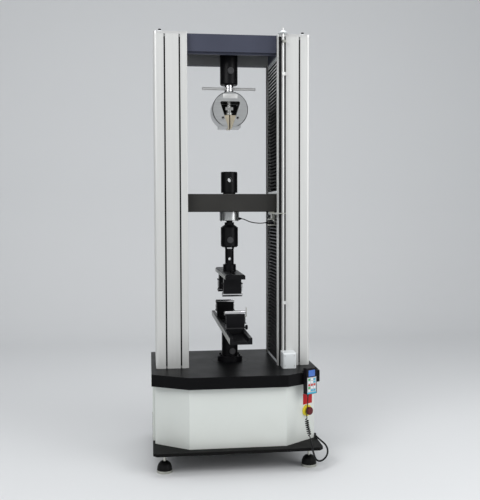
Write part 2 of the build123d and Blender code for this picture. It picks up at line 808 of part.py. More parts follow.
def lower_coupling():
    neck_end = CELL_Z - SOCKET_NECK_H
    nut_end = neck_end - SOCKET_NUT_H
    bore_top = SOCKET_Z + SHANK_IN + SHANK_END_GAP
    shape = [(0, CELL_Z), (SOCKET_NECK_R, CELL_Z), (SOCKET_NECK_R, neck_end), (SOCKET_NUT_R, neck_end),
             (SOCKET_NUT_R, nut_end), (SOCKET_R, SOCKET_TOP), (SOCKET_R, SOCKET_Z + SOCKET_EDGE),
             (SOCKET_R - SOCKET_EDGE, SOCKET_Z), (SHANK_R, SOCKET_Z), (SHANK_R, bore_top), (0, bore_top)]
    return turned(shape) - cross_hole(SOCKET_PIN_Z, SOCKET_R, PIN_R, 0)


def lock_ring():
    ring = rod(0, 0, SOCKET_Z - RING_T, SOCKET_Z, RING_R)
    return ring - rod(0, 0, SOCKET_Z - RING_T, SOCKET_Z, SHANK_R)


def bend_head():
    plate = box(-HEAD_X, HEAD_X, -HEAD_Y, HEAD_Y, HEAD_Z, HEAD_TOP)
    plate = chamfer(plate.edges().filter_by(Axis.Y).group_by(Axis.Z)[-1], HEAD_EDGE)
    half = HEAD_SLOT_W / 2
    for sy in (-1, 1):
        y0, y1 = sorted((sy * HEAD_SLOT_IN, sy * HEAD_SLOT_OUT))
        plate -= box(-half, half, y0, y1, HEAD_Z, HEAD_TOP)
    shape = [(0, HEAD_TOP), (COLLAR_R, HEAD_TOP), (COLLAR_R, COLLAR_TOP - COLLAR_EDGE),
             (COLLAR_R - COLLAR_EDGE, COLLAR_TOP), (SHANK_R, COLLAR_TOP), (SHANK_R, SOCKET_Z + SHANK_IN),
             (0, SOCKET_Z + SHANK_IN)]
    head = plate + turned(shape)
    head -= cross_hole(COLLAR_TOP + SHANK_HOLE_UP, SHANK_R, SHANK_HOLE_R, 0)
    return head - cross_hole(SOCKET_PIN_Z, SHANK_R, PIN_R, 0)


def load_holder(y):
    z = LOAD_ROLLER_Z
    r = ROLLER_R + GAP
    top = HEAD_Z - GAP
    low = z + ROLLER_SEAT
    foot = r + ROLLER_LIP
    points = [(y - HOLDER_Y, top), (y - HOLDER_Y, z + HOLDER_TAPER), (y - foot, low), (y + foot, low),
              (y + HOLDER_Y, z + HOLDER_TAPER), (y + HOLDER_Y, top)]
    block = prism_x(points, -HOLDER_X, HOLDER_X)
    block -= rod_x(y, z, -HOLDER_X, HOLDER_X, r)
    half = HEAD_SLOT_W / 2 - GAP
    block += box(-half, half, y - half, y + half, top, HEAD_TOP + GAP)
    hexagon = extrude(RegularPolygon(HOLDER_NUT_R, 6), HOLDER_NUT_T)
    return block + Pos(0, y, HEAD_TOP + GAP) * hexagon


def roller(y, z):
    return rod_x(y, z, -ROLLER_L / 2, ROLLER_L / 2, ROLLER_R)


def cell_cable():
    return cord_tube(CABLE_POINTS, CABLE_R, "cell_cable")


def cable_bracket():
    y0, y1 = BRACKET_Y - BRACKET_W / 2, BRACKET_Y + BRACKET_W / 2
    x1 = BRACKET_X1
    block_z = CROSS_Z - BRACKET_BLOCK_H
    low_z = block_z - BRACKET_TRAY_T - BRACKET_TRAY_GAP
    bracket = box(x1 - BRACKET_BLOCK_W, x1, y0, y1, block_z, CROSS_Z)
    for z in (block_z - BRACKET_TRAY_T, low_z - BRACKET_TRAY_T):
        bracket += box(x1 - BRACKET_TRAY_W, x1, y0, y1, z, z + BRACKET_TRAY_T)
    bracket += box(x1 - BRACKET_TRAY_T, x1, y0, y1, low_z, block_z)
    end = CABLE_POINTS[-1]
    return bracket + rod_x(end[1], end[2], end[0], end[0] + CONNECTOR_L, CONNECTOR_R)


def limit_finger():
    z0 = CROSS_Z - FINGER_DOWN
    z1 = z0 + FINGER_T
    x0, x1 = FINGER_X0, FINGER_X0 + FINGER_W
    front = ROD_Y - FINGER_RIM
    lug = -CROSS_Y + FINGER_LUG_IN
    arm = box(x0, x1, front, lug + FINGER_LUG_L, z0, z1)
    arm += box(x0, ROD_X + FINGER_RIM, front, ROD_Y + FINGER_RIM, z0, z1)
    arm += box(x0, x1, lug, lug + FINGER_LUG_L, z0, CROSS_Z)
    return arm - rod(ROD_X, ROD_Y, z0, z1, ROD_R + PASS)


# Lower support


def support_seat():
    top = TABLE_TOP + SEAT_FLANGE_T
    shape = [(0, TABLE_TOP), (SEAT_FLANGE_R, TABLE_TOP), (SEAT_FLANGE_R, top - SEAT_EDGE),
             (SEAT_FLANGE_R - SEAT_EDGE, top), (SEAT_R, top), (SEAT_R, SUPPORT_Z), (0, SUPPORT_Z)]
    return turned(shape) - cross_hole(TABLE_TOP + SEAT_PIN_UP, SEAT_R, PIN_R, SEAT_TURN)


def support_beam():
    beam = box(-SUPPORT_X, SUPPORT_X, -SUPPORT_Y, SUPPORT_Y, SUPPORT_Z, SUPPORT_TOP)
    beam = chamfer(beam.edges().filter_by(Axis.Y), SUPPORT_EDGE)
    return beam - box(-CHANNEL_X, CHANNEL_X, -SUPPORT_Y, SUPPORT_Y, SUPPORT_TOP - CHANNEL_D, SUPPORT_TOP)


def support_rest(y):
    z = REST_ROLLER_Z
    r = ROLLER_R + GAP
    z0 = SUPPORT_TOP + GAP
    top = z - ROLLER_SEAT
    foot, web, lip = REST_FOOT_Y, REST_WEB_Y, r + ROLLER_LIP
    step = z0 + REST_FOOT_H
    left = [(y - foot, z0), (y - foot, step), (y - web, step + REST_SLOPE_H), (y - web, top - REST_TAPER),
            (y - lip, top)]
    right = [(2 * y - a, b) for a, b in reversed(left)]
    block = prism_x(left + right, -REST_X, REST_X)
    block -= rod_x(y, z, -REST_X, REST_X, r)
    key = CHANNEL_X - GAP
    return block + box(-key, key, y - foot, y + foot, z0 - CHANNEL_D + KEY_END_GAP, z0)


# Upper grip


def grip_adapter():
    top_z = BEAM_Z + BEAM_POCKET
    shape = [(0, top_z), (ADAPTER_R, top_z), (ADAPTER_R, ADAPTER_Z + ADAPTER_EDGE),
             (ADAPTER_R - ADAPTER_EDGE, ADAPTER_Z), (NECK_SHANK_R, ADAPTER_Z),
             (NECK_SHANK_R, ADAPTER_BORE_TOP), (0, ADAPTER_BORE_TOP)]
    return turned(shape) - cross_hole(ADAPTER_Z + GRIP_PIN_UP, ADAPTER_R, PIN_R, ADAPTER_TURN)


def grip_neck():
    bore = SPINDLE_R + FIT
    bore_top = NECK_Z + NECK_BORE_DEEP
    shape = [(bore, NECK_Z), (NECK_R, NECK_Z), (NECK_R, ADAPTER_Z), (NECK_SHANK_R, ADAPTER_Z),
             (NECK_SHANK_R, ADAPTER_BORE_TOP), (0, ADAPTER_BORE_TOP), (0, bore_top), (bore, bore_top)]
    neck = turned(shape) - cross_hole(ADAPTER_Z + GRIP_PIN_UP, NECK_SHANK_R, PIN_R, ADAPTER_TURN)
    blocked = math.asin((BAR_R + GAP) / SPINDLE_R)
    half = math.radians(BAR_SWING) + blocked
    reach = 2 * NECK_R
    x, y = reach * math.cos(half), reach * math.sin(half)
    for sx in (-1, 1):
        fan = [(0, 0), (sx * x, -y), (sx * reach, -reach), (sx * reach, reach), (sx * x, y)]
        neck -= prism(fan, BAR_Z - BAR_R - GAP, BAR_Z + BAR_R + GAP)
    return neck


def window_x(z):
    slope = (WINDOW_TOP_X - WINDOW_LOW_X) / (WINDOW_TOP - GRIP_BOTTOM)
    return WINDOW_LOW_X + (z - GRIP_BOTTOM) * slope


def grip_window():
    low = GRIP_BOTTOM - GRIP_FOOT_H - GRIP_EDGE
    x0, x1 = window_x(low), WINDOW_TOP_X
    outline = [(-x0, low), (x0, low), (x1, WINDOW_TOP), (-x1, WINDOW_TOP)]
    window = prism_y(outline, -2 * GRIP_Y, GRIP_Y - GRIP_BACK_T)
    return fillet(window.edges().filter_by(Axis.Y).group_by(Axis.Z)[-1], WINDOW_R)


def grip_body():
    disc = rod_y(0, GRIP_Z, -GRIP_Y, GRIP_Y, GRIP_R)
    disc = chamfer(disc.edges().filter_by(GeomType.CIRCLE), GRIP_EDGE)
    disc -= box(-GRIP_R, GRIP_R, -GRIP_Y, GRIP_Y, GRIP_Z - GRIP_R, GRIP_BOTTOM)
    foot_y = GRIP_Y - GRIP_EDGE
    foot_z0, foot_z1 = GRIP_BOTTOM - GRIP_FOOT_H, GRIP_BOTTOM + GRIP_FOOT_IN
    disc += box(-GRIP_FOOT_X, GRIP_FOOT_X, -foot_y, foot_y, foot_z0, foot_z1)
    disc += rod(0, 0, WINDOW_TOP + GRIP_BOSS_IN, NECK_Z, GRIP_BOSS_R)
    disc -= grip_window()
    return disc - rod(0, 0, GRIP_Z, NECK_Z, SPINDLE_R + FIT)


CARRIER_Z = JAW_TOP + GAP
CARRIER_TOP = CARRIER_Z + CARRIER_HEAD_H + CARRIER_NECK_H + CARRIER_NUT_H


def grip_spindle():
    z0 = CARRIER_Z + CARRIER_FLOOR + SPINDLE_END_GAP
    z1 = NECK_Z + NECK_BORE_DEEP - SPINDLE_END_GAP
    spindle = rod(0, 0, z0, z1, SPINDLE_R)
    return spindle - rod_x(0, BAR_Z, -2 * SPINDLE_R, 2 * SPINDLE_R, BAR_R)


def tommy_bar():
    bar = rod_x(0, BAR_Z, -BAR_L / 2, BAR_L / 2, BAR_R)
    return chamfer(bar.edges().filter_by(GeomType.CIRCLE), BAR_EDGE)


def jaw_carrier():
    neck_z = CARRIER_Z + CARRIER_HEAD_H
    nut_z = neck_z + CARRIER_NECK_H
    n = CARRIER_NUT_X
    carrier = rod(0, 0, CARRIER_Z, neck_z, CARRIER_HEAD_R)
    carrier = chamfer(carrier.edges().filter_by(GeomType.CIRCLE), CARRIER_EDGE)
    carrier += rod(0, 0, neck_z, nut_z, CARRIER_NECK_R)
    carrier += box(-n, n, -n, n, nut_z, CARRIER_TOP)
    return carrier - rod(0, 0, CARRIER_Z + CARRIER_FLOOR, CARRIER_TOP, SPINDLE_R + FIT)


def right_jaw():
    z0, z1 = JAW_TOP - JAW_H, JAW_TOP
    points = [(JAW_X, z0), (window_x(z0) - GAP, z0), (window_x(z1) - GAP, z1), (JAW_X, z1)]
    return prism_y(points, -JAW_Y, JAW_Y)


# Limit rod and switch box


def limit_rod():
    pieces = [rod(ROD_X, ROD_Y, BOX_TOP - ROD_IN_BOX, ROD_TOP, ROD_R)]
    for z in (BEAM_Z - UPPER_STOP_DOWN, TABLE_TOP + LOWER_STOP_UP):
        ring = rod(ROD_X, ROD_Y, z, z + STOP_H, STOP_R)
        ring += box(ROD_X, ROD_X + STOP_EAR_X, ROD_Y - STOP_EAR_Y, ROD_Y + STOP_EAR_Y, z, z + STOP_H)
        pieces.append(ring - rod(ROD_X, ROD_Y, z, z + STOP_H, ROD_R))
    return group(pieces)


def limit_guide():
    z0 = BEAM_TOP - GUIDE_DOWN
    z1 = z0 + GUIDE_H
    y0 = ROD_Y - GUIDE_FRONT
    duct_x = DUCT_X0 + DUCT_W
    block = box(duct_x, ROD_X + GUIDE_RIGHT, y0, COL_FRONT, z0, z1)
    return block - rod(ROD_X, ROD_Y, z0, z1, ROD_R + FIT)


def switch_box():
    case = box(BOX_X0, BOX_X1, BOX_FRONT, COL_FRONT, TABLE_TOP, BOX_TOP)
    uprights = case.edges().filter_by(Axis.Z).group_by(Axis.Y)[0]
    rim = case.edges().filter_by(Axis.X).group_by(Axis.Y)[0].sort_by(Axis.Z)[-1:]
    case = fillet(uprights + rim, BOX_EDGE)
    w = BOX_WALL
    case -= box(BOX_X0 + w, BOX_X1 - w, BOX_FRONT + w, COL_FRONT - w, TABLE_TOP, BOX_TOP - w)
    return case - rod(ROD_X, ROD_Y, BOX_TOP - 2 * w, BOX_TOP, ROD_R + FIT)


def cable_duct():
    y0 = COL_FRONT - DUCT_T
    duct = box(DUCT_X0, DUCT_X0 + DUCT_W, y0, COL_FRONT, BOX_TOP + DUCT_TOP_GAP, BEAM_TOP - DUCT_TOP_GAP)
    return duct + box(DUCT_X0, BOX_X0 - GAP, y0, COL_FRONT, TABLE_TOP, BOX_TOP + DUCT_TOP_GAP)


# Handset, cord and emergency stop


def handset_plane(offset, z):
    return corner_frame(*TABLE_CORNER, HAND_S, offset, z)


def handset_body():
    plane = handset_plane(0, HAND_MID)
    body = extrude(plane * RectangleRounded(HAND_W, HAND_H, HAND_R), HAND_T)
    recess = plane.offset(HAND_T - SCREEN_RECESS)
    up = HAND_H / 2 - SCREEN_DOWN
    body -= extrude(recess * Pos(0, up, 0) * Rectangle(SCREEN_W, SCREEN_H), 2 * SCREEN_RECESS)
    hook = Box(HOOK_W, HOOK_T, HOOK_L)
    return body + handset_plane(0, TABLE_TOP).location * Pos(0, HOOK_T / 2, HOOK_IN - HOOK_L / 2) * hook


def handset_screen():
    plane = handset_plane(HAND_T - SCREEN_RECESS, HAND_MID)
    glass = Rectangle(SCREEN_W - 2 * SCREEN_EDGE, SCREEN_H - 2 * SCREEN_EDGE)
    return extrude(plane * Pos(0, HAND_H / 2 - SCREEN_DOWN, 0) * glass, SCREEN_T)


def handset_keys():
    plane = handset_plane(HAND_T, HAND_MID)
    keys = []
    for row in range(KEY_ROWS):
        for col in range(KEY_COLS):
            x = (col - (KEY_COLS - 1) / 2) * KEY_PITCH_X
            up = HAND_H / 2 - KEY_DOWN - row * KEY_PITCH_Z
            keys.append(extrude(plane * Pos(x, up, 0) * RectangleRounded(KEY_W, KEY_H, KEY_R), KEY_T))
    return keys


def cord_wire(points, name):
    radii = []
    for a, b, c in zip(points, points[1:], points[2:]):
        u, v = Vector(*b) - Vector(*a), Vector(*c) - Vector(*b)
        turn = math.radians(u.get_angle(v))
        radii.append(round(0.45 * min(u.length, v.length) / math.tan(turn / 2), 1))
    print(name, "radii", radii)
    return FilletPolyline(*points, radius=radii)


def cord_tube(points, radius, name):
    wire = cord_wire(points, name)
    plane = Plane(origin=wire @ 0, z_dir=wire % 0)
    tube = sweep(plane * Circle(radius), path=wire)
    print(name, "length", round(wire.length, 1))
    return tube


def handset_cord():
    cord = cord_tube(LEAD_POINTS, CORD_R, "lead") + cord_tube(COIL_POINTS, COIL_R, "coil")
    return cord + cord_tube(TAIL_POINTS, CORD_R, "tail")


def cord_plug():
    plug = rod_x(PLUG_Y, PLUG_Z, CAB_X, PLUG_X + PLUG_OVER, PLUG_R)
    return plug + rod_y(PLUG_X, PLUG_Z, PLUG_Y - PLUG_NECK_L, PLUG_Y, PLUG_NECK_R)


def estop_ring():
    plane = corner_frame(*CAB_CORNER, STOP_S, 0, STOP_Z)
    ring = extrude(plane * Circle(STOP_RING_R), STOP_RING_T)
    ring += extrude(plane * Circle(STOP_BARREL_R), -STOP_BARREL_L)
    return ring - extrude(plane * Circle(STOP_STEM_R + GAP), 2 * STOP_BARREL_L, both=True)


def estop_button():
    lift = STOP_RING_T + STOP_TRAVEL + STOP_REST_GAP
    plane = corner_frame(*CAB_CORNER, STOP_S, lift, STOP_Z)
    head = extrude(plane * Circle(STOP_HEAD_R), STOP_HEAD_T)
    head = fillet(head.edges().filter_by(GeomType.CIRCLE).sort_by(Axis.X)[-1:], STOP_HEAD_EDGE)
    return head + extrude(plane * Circle(STOP_STEM_R), -lift - STOP_STEM_DEEP)


def save(node, shape):
    shape.label = node
    export_step(shape, "parts/" + node + ".step")


def main():
    os.makedirs("parts", exist_ok=True)
    save("base_plate", base_plate())
    save("foot_pads", group([foot_pad(x, y) for x, y in foot_spots()]))
    save("foot_studs", group([foot_stud(x, y) for x, y in foot_spots()]))
    save("front_cover", front_cover())
    save("side_panels", both_sides(side_panel()))
    save("rear_panel", rear_panel())
    save("support_pillars", pillars())
    save("work_table", work_table())
    save("servo_motor", servo_motor())
    save("motor_pulley", motor_pulley())
    save("drive_belt", drive_belt())
    save("bearing_housings", group([bearing_housing(-DRIVE_X), bearing_housing(DRIVE_X)]))
    save("control_unit", control_unit())
    screw = [ball_screw(), screw_pulley()]
    save("right_ball_screw", group(screw))
    save("left_ball_screw", group([mirror(piece, Plane.YZ) for piece in screw]))
    save("columns", both_sides(column()))
    save("column_caps", both_sides(column_outline(BEAM_TOP, CAP_TOP)))
    save("guide_posts", guide_posts())
    save("top_beam", top_beam())
    save("upper_bellows", both_sides(bellows(CROSS_TOP + GAP, BEAM_Z)))
    save("lower_bellows", both_sides(bellows(TABLE_TOP, CROSS_Z - GAP)))
    save("crosshead_beam", crosshead_beam())
    save("ball_nuts", group([ball_nut(-DRIVE_X), ball_nut(DRIVE_X)]))
    save("guide_bushes", guide_bushes())
    save("upper_coupling", upper_coupling())
    save("load_cell", load_cell())
    save("cell_cable", cell_cable())
    save("limit_bracket", group([limit_finger(), cable_bracket()]))
    save("lower_coupling", lower_coupling())
    save("coupling_pin", cross_pin(SOCKET_PIN_Z, SOCKET_R, PIN_HEAD_R, 0))
    save("lock_ring", lock_ring())
    save("bend_head", bend_head())
    save("near_load_holder", load_holder(-LOAD_Y))
    save("far_load_holder", load_holder(LOAD_Y))
    save("near_load_roller", roller(-LOAD_Y, LOAD_ROLLER_Z))
    save("far_load_roller", roller(LOAD_Y, LOAD_ROLLER_Z))
    save("support_seat", support_seat())
    save("support_beam", support_beam())
    save("near_support", support_rest(-REST_Y))
    save("far_support", support_rest(REST_Y))
    save("near_support_roller", roller(-REST_Y, REST_ROLLER_Z))
    save("far_support_roller", roller(REST_Y, REST_ROLLER_Z))
    save("grip_adapter", grip_adapter())
    grip_pin = cross_pin(ADAPTER_Z + GRIP_PIN_UP, ADAPTER_R, GRIP_PIN_HEAD_R, ADAPTER_TURN)
    seat_pin = cross_pin(TABLE_TOP + SEAT_PIN_UP, SEAT_R, PIN_HEAD_R, SEAT_TURN)
    save("anchor_pins", group([grip_pin, seat_pin]))
    save("grip_neck", grip_neck())
    save("grip_body", grip_body())
    save("grip_spindle", grip_spindle())
    save("tommy_bar", tommy_bar())
    save("jaw_carrier", jaw_carrier())
    save("right_jaw", right_jaw())
    save("left_jaw", mirror(right_jaw(), Plane.YZ))
    save("limit_rod", limit_rod())
    save("limit_guides", limit_guide())
    save("switch_box", switch_box())
    save("cable_duct", cable_duct())
    save("handset_body", handset_body())
    save("handset_face", group([handset_screen()] + handset_keys()))
    save("handset_cord", group([handset_cord(), cord_plug()]))
    save("estop_ring", estop_ring())
    save("estop_button", estop_button())


main()
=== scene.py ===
import math
import bmesh
import bpy
from mathutils import Matrix, Vector


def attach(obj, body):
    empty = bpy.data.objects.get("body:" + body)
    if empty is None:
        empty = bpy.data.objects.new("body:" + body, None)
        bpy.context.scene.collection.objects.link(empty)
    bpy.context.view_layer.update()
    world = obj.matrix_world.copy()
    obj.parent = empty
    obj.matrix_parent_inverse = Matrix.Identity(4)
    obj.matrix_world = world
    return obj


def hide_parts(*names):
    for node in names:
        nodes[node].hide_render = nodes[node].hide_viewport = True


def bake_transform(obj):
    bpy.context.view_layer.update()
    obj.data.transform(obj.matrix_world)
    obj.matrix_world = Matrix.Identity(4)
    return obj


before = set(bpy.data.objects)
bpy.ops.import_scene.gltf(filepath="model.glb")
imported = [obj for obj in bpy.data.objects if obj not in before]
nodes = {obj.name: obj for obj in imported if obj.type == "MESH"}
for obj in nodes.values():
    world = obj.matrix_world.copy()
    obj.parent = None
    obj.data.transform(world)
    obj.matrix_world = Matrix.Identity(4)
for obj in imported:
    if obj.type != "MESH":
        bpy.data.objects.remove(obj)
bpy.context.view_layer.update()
scene = bpy.context.scene
scene.view_settings.view_transform = "Standard"
MM = 0.001

# Camera, set to the photograph's viewpoint for a 480 by 500 image
FOCAL_PX, IMAGE_PX, SENSOR_MM = 740.0, 500.0, 36.0
CLIP_NEAR, CLIP_FAR = 0.05, 60.0
YAW, PITCH, ROLL = math.radians(6.977), math.radians(2.949), math.radians(-0.163)
CAMERA_AT = (-0.4201, -3.8945, 1.260)


def add_camera():
    data = bpy.data.cameras.new("camera")
    data.sensor_width = SENSOR_MM
    data.lens = FOCAL_PX / IMAGE_PX * SENSOR_MM
    data.clip_start, data.clip_end = CLIP_NEAR, CLIP_FAR
    cam = bpy.data.objects.new("camera", data)
    scene.collection.objects.link(cam)
    right0 = Vector((math.cos(YAW), -math.sin(YAW), 0))
    ahead0 = Vector((math.sin(YAW), math.cos(YAW), 0))
    top0 = Vector((0, 0, 1))
    ahead = ahead0 * math.cos(PITCH) - top0 * math.sin(PITCH)
    top = top0 * math.cos(PITCH) + ahead0 * math.sin(PITCH)
    right = right0 * math.cos(ROLL) + top * math.sin(ROLL)
    upward = top * math.cos(ROLL) - right0 * math.sin(ROLL)
    view = Matrix((right, upward, -ahead)).transposed().to_4x4()
    view.translation = Vector(CAMERA_AT)
    cam.matrix_world = view
    scene.camera = cam


add_camera()

# Materials: noise in object space for colour and roughness, finer noise for the bump
MIX_FACTOR, MIX_A, MIX_B, MIX_COLOR = 0, 6, 7, 2
PATCH_DETAIL, GRAIN_DETAIL, BUMP_DEPTH = 5.0, 3.0, 0.0006
HEIGHT_TINT_SCALE, HEIGHT_TINT_DETAIL = 7.0, 6.0


def socket(node, name, value):
    node.inputs[name].default_value = value


def feed(nt, value, target):
    """Links an output socket to an input, or gives the input a constant."""
    if isinstance(value, bpy.types.NodeSocket):
        nt.links.new(value, target)
    else:
        target.default_value = value


def add_mix(nt, factor, a, b):
    mix = nt.nodes.new("ShaderNodeMix")
    mix.data_type = "RGBA"
    for value, index in ((factor, MIX_FACTOR), (a, MIX_A), (b, MIX_B)):
        feed(nt, value, mix.inputs[index])
    return mix.outputs[MIX_COLOR]


def add_math(nt, operation, a, b):
    node = nt.nodes.new("ShaderNodeMath")
    node.operation = operation
    feed(nt, a, node.inputs[0])
    feed(nt, b, node.inputs[1])
    return node.outputs["Value"]


def add_noise(nt, vector, scale, detail):
    noise = nt.nodes.new("ShaderNodeTexNoise")
    socket(noise, "Scale", scale)
    socket(noise, "Detail", detail)
    nt.links.new(vector, noise.inputs["Vector"])
    return noise.outputs["Fac"]


def add_range(nt, value, source, target):
    span = nt.nodes.new("ShaderNodeMapRange")
    for name, number in zip(("From Min", "From Max", "To Min", "To Max"), (*source, *target)):
        socket(span, name, number)
    nt.links.new(value, span.inputs["Value"])
    return span.outputs["Result"]


def stretched(nt, coords, scale):
    place = nt.nodes.new("ShaderNodeMapping")
    socket(place, "Scale", scale)
    nt.links.new(coords, place.inputs["Vector"])
    return place.outputs["Vector"]


def add_height_tint(nt, coords, tint, color, z_full, z_none, strength):
    """Cloudy film of another colour that fades out between two heights: a painted highlight on the
    pleat edges, and a darker or paler tint near the floor on the white paint and the foot pads.
    """
    split = nt.nodes.new("ShaderNodeSeparateXYZ")
    nt.links.new(coords, split.inputs["Vector"])
    fade = add_range(nt, split.outputs["Z"], (z_full, z_none), (strength, 0.0))
    part = add_math(nt, "MULTIPLY", fade, add_noise(nt, coords, HEIGHT_TINT_SCALE, HEIGHT_TINT_DETAIL))
    return add_mix(nt, part, tint, (*color, 1))


def material(name, color, rough, var, scale, rough_var, bump, grain, metal=0.0, stretch=(1, 1, 1),
             grain_stretch=None, coat=0.0, coat_rough=0.1, specular=0.5, height_tint=None):
    """var and rough_var say how far colour and roughness wander from their middle."""
    mat = bpy.data.materials.new(name)
    mat.use_nodes = True
    nt = mat.node_tree
    shader = nt.nodes["Principled BSDF"]
    socket(shader, "Metallic", metal)
    socket(shader, "Coat Weight", coat)
    socket(shader, "Coat Roughness", coat_rough)
    socket(shader, "Specular IOR Level", specular)
    coords = nt.nodes.new("ShaderNodeTexCoord").outputs["Object"]
    patches = add_noise(nt, stretched(nt, coords, stretch), scale, PATCH_DETAIL)
    low = [max(0.0, c * (1 - var)) for c in color] + [1]
    high = [min(1.0, c * (1 + var)) for c in color] + [1]
    tint = add_mix(nt, patches, low, high)
    if height_tint:
        tint = add_height_tint(nt, coords, tint, *height_tint)
    nt.links.new(tint, shader.inputs["Base Color"])
    reach = (max(0.02, rough - rough_var), min(1.0, rough + rough_var))
    nt.links.new(add_range(nt, patches, (0.0, 1.0), reach), shader.inputs["Roughness"])
    grain_at = stretched(nt, coords, grain_stretch) if grain_stretch else coords
    ridge = nt.nodes.new("ShaderNodeBump")
    socket(ridge, "Strength", bump)
    socket(ridge, "Distance", BUMP_DEPTH)
    nt.links.new(add_noise(nt, grain_at, grain, GRAIN_DETAIL), ridge.inputs["Height"])
    nt.links.new(ridge.outputs["Normal"], shader.inputs["Normal"])
    return mat


